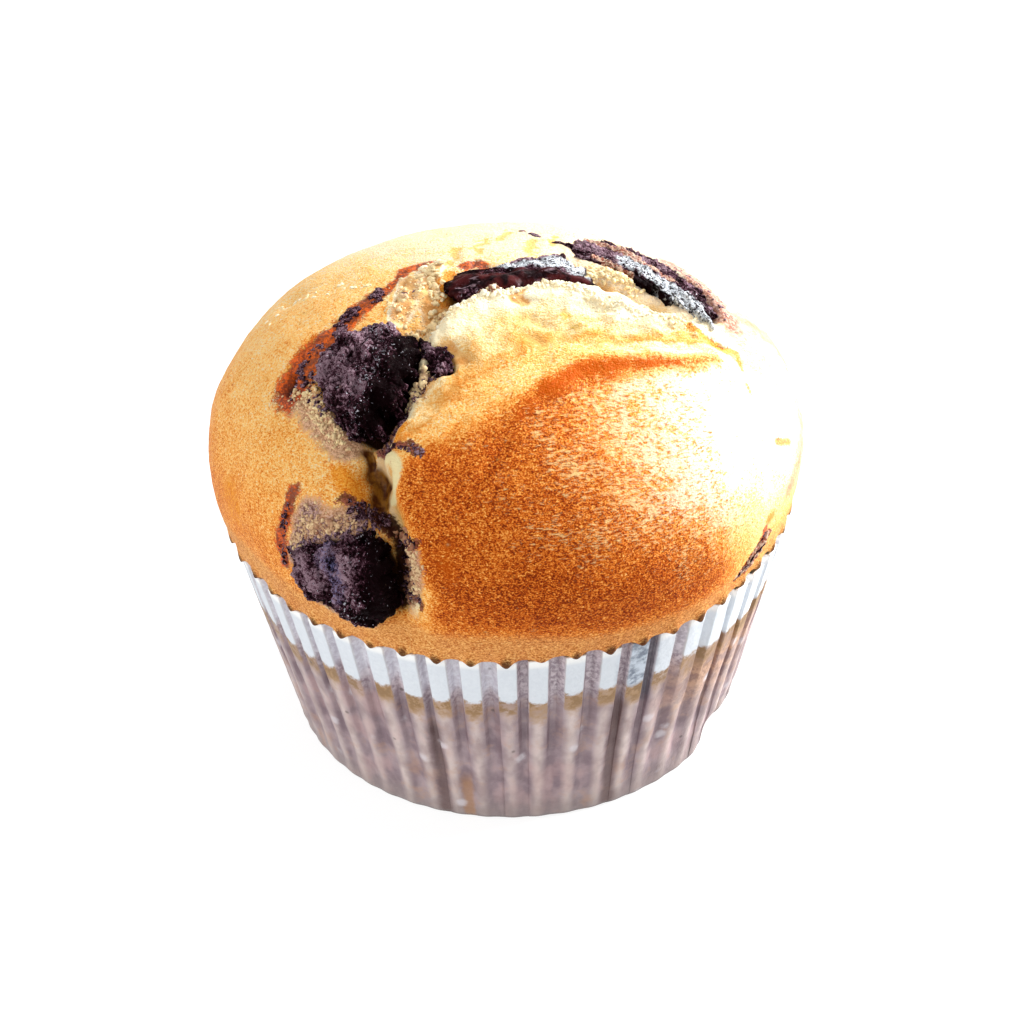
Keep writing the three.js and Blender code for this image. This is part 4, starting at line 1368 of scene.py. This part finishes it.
def chocolate_finish():
    """Dark chocolate, mauve and grainy where bloom lies on it, black and smooth where it
    melted and where painted shade lies, lighter where it stands out and darker in its hollows
    as painted light and shade, with painted highlights: small bright sparkles, pale streaks,
    bluish patches and bluish-white reflections."""
    finish = Finish("chocolate")
    tiny = finish.grain(0.2, 2, 0.65, 1.0)
    fine = finish.grain(0.42, 2, 0.6, 0.6)
    middle = finish.grain(1.5)
    fine_wave, wave = fine - 0.5, middle - 0.5
    # The black mark is partly melted chocolate and partly painted shade on flanks that face away.
    black, raised = finish.mark("black"), finish.mark("raised")
    mottle = tiny * 0.58 + fine * 0.34 + middle * 0.08
    # Painted light and shade: lighter where it stands out, darker in hollows.
    dust = mottle + (raised - 0.5) * 0.22 + finish.mark("bloom") * 0.10 - black * 0.20
    tint = finish.ramp(
        dust.step(0.42, 0.68),
        [(0.0, 16, 3, 5), (0.35, 54, 24, 34), (0.7, 104, 70, 84), (1.0, 168, 138, 150)],
    )
    # Painted highlight: a bluish violet patch.
    lilac = finish.shown("lilac", wave * 0.9, 0.3, 0.9) * mottle.step(0.44, 0.58)
    molten = finish.shown("molten", 0, 0.25, 0.75)
    syrup = finish.blend(middle.step(0.38, 0.66), colour(16, 2, 3), colour(74, 26, 26))
    # Painted highlight: pale streaks along the melted rope.
    painted_streaks = finish.grain(0.7, 2, 0.5, 0.5, finish.place((0.3, 1, 1))).step(0.6, 0.7)
    syrup = finish.blend(painted_streaks * raised.step(0.45, 0.7), syrup, colour(150, 124, 132))
    # Partly bloom and partly a painted reflection: pale bluish specks on the strips.
    frost = finish.shown("frost", wave * 0.9 + fine_wave * 0.5, 0.3, 0.65)
    icy = (tiny * 0.4 + fine * 0.6).step(0.43, 0.51)
    reflection_tint = finish.blend(icy, colour(40, 24, 34), colour(240, 246, 252))
    # Painted highlights: small bright grains, more where painted sparkle is marked.
    painted_glints = finish.grain(0.3, 1, 0.5, 0.8) + finish.mark("sparkle") * 0.085 - black * 0.04
    painted_glints = painted_glints.step(0.7, 0.76) * (1 - molten)
    strewn = finish.shown("crumbed", wave * 1.6 + fine_wave * 0.8, 0.45, 0.65)
    pinkish = finish.blend(fine.step(0.42, 0.58), colour(168, 96, 76), colour(232, 198, 172))
    tint = finish.cover(
        tint,
        [
            (lilac * 0.7, colour(120, 124, 172)),
            (molten * 0.95, syrup),
            (frost * 0.9, reflection_tint),
            (painted_glints * 0.9, colour(214, 212, 224)),
            (strewn * 0.85, pinkish),
        ],
    )
    wet = (black * 0.15 * fine.step(0.52, 0.66)).or_more(molten * 0.15)
    return finish.shade(
        base_color=tint,
        roughness=0.5,
        normal=finish.bump(tiny * 0.5 + fine * 0.7 + middle * 0.3, 0.7, 1 - molten * 0.7),
        specular_ior_level=0.02,
        coat_weight=(painted_glints + wet).step(0, 1),
        coat_roughness=0.15,
    )


def crumb_finish():
    """Loose crumbs, from cream over golden to brown."""
    finish = Finish("crumbs")
    fine = finish.grain(0.4, 2, 0.6)
    tint = finish.ramp(
        finish.mark("tone") + (fine - 0.5) * 0.3,
        [
            (0.0, 254, 246, 220),
            (0.3, 248, 224, 170),
            (0.55, 206, 168, 128),
            (0.8, 150, 96, 68),
            (1.0, 80, 40, 34),
        ],
    )
    return finish.shade(base_color=tint, roughness=0.8, normal=finish.bump(fine, 0.3, 0.8))


# --- Pieces -------------------------------------------------------------------------------------

make_muffin(crust_finish())
make_paper_case(paper_finish())
chocolate = chocolate_finish()
for name, lump in lumps.items():
    make_lump(name, lump, chocolate)

# Where bits lie: the points of a chain, its half width, and the bits' count, size, flatness and tone.
lip_line = [
    [-9.8, -7.6, 57.9], [-7.7, -5.6, 58.5], [-5.9, -4, 58.8], [-3.7, -2.9, 59],
    [-1.8, -2.1, 59], [0.3, -1.1, 59.1], [2.1, 0.1, 59], [5.1, 1, 58.8], [6.8, 0.6, 58.6],
    [8.6, -0.4, 58.4], [11.9, -2.6, 57.7], [14.4, -2.8, 57.1], [17.4, -3.2, 56.2],
    [22.1, -3.3, 54.4], [27, -3.3, 51.9],
]
crumbs = crumb_finish()
make_crumbs(
    "crumbs",
    crumbs,
    [
        (lip_line, 0.3, 420, 0.32, 1, 0.06),
        (lip_line, 0.8, 260, 0.28, 0.7, 0.14),
        ([[-5.1, -2, 58.9], [-3.3, -1.8, 59], [-1.5, -1.4, 59],
          [-0.4, -1, 59.1]], 0.25, 70, 0.3, 0.8, 0.86),
        ([[12, 3.5, 57.8], [15.5, 2.2, 57], [19.2, 0.4, 55.8]], 0.7, 240, 0.42, 0.8, 0.2),
        ([[9.4, 5.6, 58], [11.6, 7.2, 57.6], [14.2, 6.2, 56.9],
          [16.4, 4.4, 56.4]], 0.5, 200, 0.4, 0.8, 0.3),
        ([[-28.3, 6.1, 51.6], [-26.5, 9.5, 52.4], [-22.3, 6.5, 54.9], [-18.6, 7.2, 56.2],
          [-16.6, 5, 57.1]], 0.6, 34, 0.34, 0.4, 0.12),
        ([[-12.9, -6.6, 57.4], [-10.4, -4.8, 58.3], [-8.2, -3, 58.7]], 0.5, 140, 0.35, 0.7, 0.4),
        ([[-9.4, -5.6, 58.2], [-8.4, -3, 58.5], [-8, 0.5, 58.7], [-8.2, 3.6, 58.6],
          [-8.8, 6.6, 58.4]], 0.5, 170, 0.5, 0.6, 0.32),
        ([[-12.6, -2.6, 57.9], [-11.2, 0.6, 58.2], [-9.6, 3.6, 58.4]], 1.1, 150, 0.28, 0.6, 0.34),
    ],
    3,
)
make_crumbs(
    "chunk_crumbs",
    crumbs,
    [
        ([[-24.2, -11.8, 52.4], [-22.8, -14.5, 52.6], [-20.8, -17.9, 52.2],
          [-19, -20.4, 51.8]], 0.8, 420, 0.26, 0.7, 0.42),
        ([[-22.8, -25.9, 45.5], [-24, -26.6, 42.3], [-24.7, -27, 39.8]], 0.6, 200, 0.26, 0.7, 0.55),
        ([[-22.6, -26.6, 44.2], [-20.6, -28, 44.9], [-18.4, -28.6, 46.2]], 0.6, 260, 0.26, 0.7, 0.6),
        ([[-22.8, -28.2, 35.8], [-20.4, -29.8, 35.2], [-18.2, -31.1, 34.4],
          [-16.4, -32.2, 34.7]], 0.35, 160, 0.26, 0.7, 0.6),
        ([[-12.2, -17.6, 55.1], [-10.4, -15.9, 56], [-9.6, -13.6, 56.8]], 0.6, 260, 0.3, 0.8, 0.42),
        ([[-13.2, -19.6, 54.2], [-14.8, -21.6, 52.7]], 0.5, 160, 0.3, 0.8, 0.8),
        ([[-11.6, -32.8, 44.6], [-11.1, -33.9, 42.3], [-11.8, -34.5, 39.4]], 0.5, 220, 0.28, 0.8, 0.5),
        ([[-13.2, -31, 46.2], [-12.4, -32.4, 44.7], [-12, -33.7, 42.5], [-11.9, -34.4, 40.5],
          [-12.4, -34.5, 37.7]], 0.5, 240, 0.36, 0.8, 0.75),
    ],
    4,
)
make_crumbs(
    "chocolate_flecks",
    chocolate,
    [
        ([[-19.7, -2.3, 56.1], [-18.5, -1.1, 56.5], [-17.7, 0.3, 56.8]], 0.4, 34, 0.7, 0.4, 0.2),
        ([[-15.4, 0.9, 57.4], [-15.1, 2.8, 57.4]], 0.45, 24, 0.8, 0.4, 0.5),
        ([[-24.8, -9.6, 52.9], [-23.6, -7, 53.9]], 0.35, 22, 0.5, 0.4, 0.7),
        ([[-12, 0.6, 58.1], [-10.6, 1.4, 58.4]], 0.15, 7, 0.4, 0.3, 0.6),
        ([[-25.4, -11, 52.1], [-23.8, -7.6, 53.9], [-21.6, -4.9, 55.2]], 0.5, 50, 0.3, 0.4, 0.6),
        ([[-20.2, -4.4, 55.9], [-18.8, -3.4, 56.3]], 0.3, 26, 0.55, 0.5, 0.7),
        ([[-23, -9.4, 53.7], [-22.4, -13, 53.2], [-19.8, -18, 52.6]], 0.35, 60, 0.35, 0.6, 0.5),
        ([[-10.6, -9.4, 57.5], [-9.3, -10.7, 57.5], [-6.9, -12.2, 57.5]], 0.4, 80, 0.35, 0.5, 0.5),
        ([[-8.4, -14.3, 56.7], [-10.4, -16.6, 55.8], [-12.8, -19, 54.4]], 0.35, 120, 0.3, 0.5, 0.4),
        ([[-12.8, -19, 54.4], [-13.6, -20.5, 53.6], [-14.5, -21.8, 52.8]], 0.6, 100, 0.35, 0.5, 0.4),
        ([[-14.3, -23, 52.2], [-12.8, -23.3, 52.5], [-11.3, -23.8, 52.5]], 0.1, 40, 0.3, 0.3, 0.1),
        ([[-11, -23.8, 52.6], [-9.9, -24.8, 52.3]], 0.3, 30, 0.28, 0.4, 0.8),
        ([[-13.4, -31.4, 45.6], [-12.5, -33, 43.6], [-12.2, -34, 40.8],
          [-12.7, -34.3, 37.8]], 0.55, 230, 0.36, 0.6, 0.1),
        ([[-25.2, -26.2, 40.8], [-22.9, -27.6, 42.4], [-19.7, -29.1, 44.2], [-17.6, -29.7, 45.1],
          [-15.8, -30.1, 45.9]], 0.35, 110, 0.4, 0.5, 0.8),
        ([[-18.3, -27.2, 47.5], [-16.9, -28.2, 47.4], [-15.6, -29.3, 46.8]], 0.5, 70, 0.4, 0.5, 0.2),
        ([[-17.6, -28.4, 46.8], [-16.2, -28.6, 47.2], [-15.2, -29.6, 46.6]], 0.4, 70, 0.36, 0.5, 0.5),
        ([[-12.3, -31.8, 45.6], [-11.1, -32.5, 45.4]], 0.25, 24, 0.4, 0.5, 0.3),
        ([[-12.7, -33, 43.7], [-12, -33.6, 42.6]], 0.35, 40, 0.4, 0.5, 0.3),
        ([[-12.4, -34.4, 38.8], [-10.8, -34.9, 38.6]], 0.25, 30, 0.4, 0.5, 0.3),
        ([[2.7, 18.6, 56.4], [4.6, 16.2, 57]], 0.12, 14, 0.45, 0.3, 1),
        ([[-25.4, -23.9, 45], [-26.1, -24.6, 42.6], [-26.6, -25, 40],
          [-26.3, -25.6, 38]], 0.25, 50, 0.3, 0.4, 0.3),
        ([[20, 13, 53.9], [22.8, 11, 53.2], [25, 7, 52.6], [26.4, 3.2, 52]], 0.7, 50, 0.26, 0.3, 1),
        ([[27.6, -22.9, 32.4], [29.1, -21.1, 33.4], [30.7, -19.5, 35.5]], 0.25, 30, 0.4, 0.4, 0.4),
        ([[-6.4, -1.2, 58.8], [-1.5, -0.3, 59.1]], 0.3, 60, 0.32, 0.5, 0.5),
    ],
    5,
    "bloom",
)

# --- Stage, light and camera --------------------------------------------------------------------


def make_floor():
    finish = Finish("floor")
    tint = finish.blend(finish.grain(900, 1), (0.24, 0.24, 0.24), (0.26, 0.26, 0.26))
    material = finish.shade(
        base_color=tint,
        roughness=0.9,
        specular_ior_level=0.0,
        emission_color=(1, 1, 1, 1),
        emission_strength=0.84,
    )
    reach = 3.0
    mesh = bpy.data.meshes.new("floor")
    corners = [(-reach, -reach, 0), (reach, -reach, 0), (reach, reach, 0), (-reach, reach, 0)]
    mesh.from_pydata(corners, [], [(0, 1, 2, 3)])
    mesh.materials.append(material)
    add_to_scene("floor", mesh)


def make_light(name, place, target, power, size):
    """A square soft box at a place, turned to a target, both in metres."""
    data = bpy.data.lights.new(name, "AREA")
    data.energy = power
    data.size = size
    lamp = add_to_scene(name, data)
    lamp.location = place
    lamp.rotation_euler = (Vector(target) - Vector(place)).to_track_quat("-Z", "Y").to_euler()


def make_camera():
    """The camera looks down at 35 degrees from 350 mm away, rolled a little."""
    tilt, roll, distance = math.radians(35), math.radians(1.75), 350
    lens_pixels, picture_pixels, sensor_width = 2802, 1024, 36
    back = Vector((0, -math.cos(tilt), math.sin(tilt)))
    up = Vector((0, math.sin(tilt), math.cos(tilt)))
    right = Vector((1, 0, 0))
    rolled_right = right * math.cos(roll) - up * math.sin(roll)
    rolled_up = right * math.sin(roll) + up * math.cos(roll)
    middle = Vector((0, 0, 30))
    place = middle + back * distance
    aim = middle + (rolled_right * 3.1 - rolled_up * 23.8) * (distance / lens_pixels)
    out = (place - aim).normalized()
    side = rolled_up.cross(out).normalized()
    head = out.cross(side)
    data = bpy.data.cameras.new("camera")
    data.lens = lens_pixels * sensor_width / picture_pixels
    data.sensor_width = sensor_width
    data.clip_start = 0.01
    camera = add_to_scene("camera", data)
    axes = Matrix([[side[k], head[k], out[k]] for k in range(3)]).to_4x4()
    camera.matrix_world = Matrix.Translation(place * METRES) @ axes
    bpy.context.scene.camera = camera


make_floor()
make_light("window", (0.70, 0.34, 0.36), (0, 0, 0.045), 23, 0.6)
make_light("back_window", (0.17, 0.80, 0.33), (0, 0, 0.05), 0.7, 0.16)
make_light("fill", (-0.65, -0.4, 0.5), (0, 0, 0.04), 3.9, 0.7)
world = bpy.data.worlds.new("studio")
bpy.context.scene.world = world
world.use_nodes = True
background = world.node_tree.nodes["Background"]
background.inputs["Color"].default_value = (1, 1, 1, 1)
background.inputs["Strength"].default_value = 0.5
bpy.context.scene.view_settings.view_transform = "Standard"
bpy.context.scene.view_settings.look = "None"
make_camera()
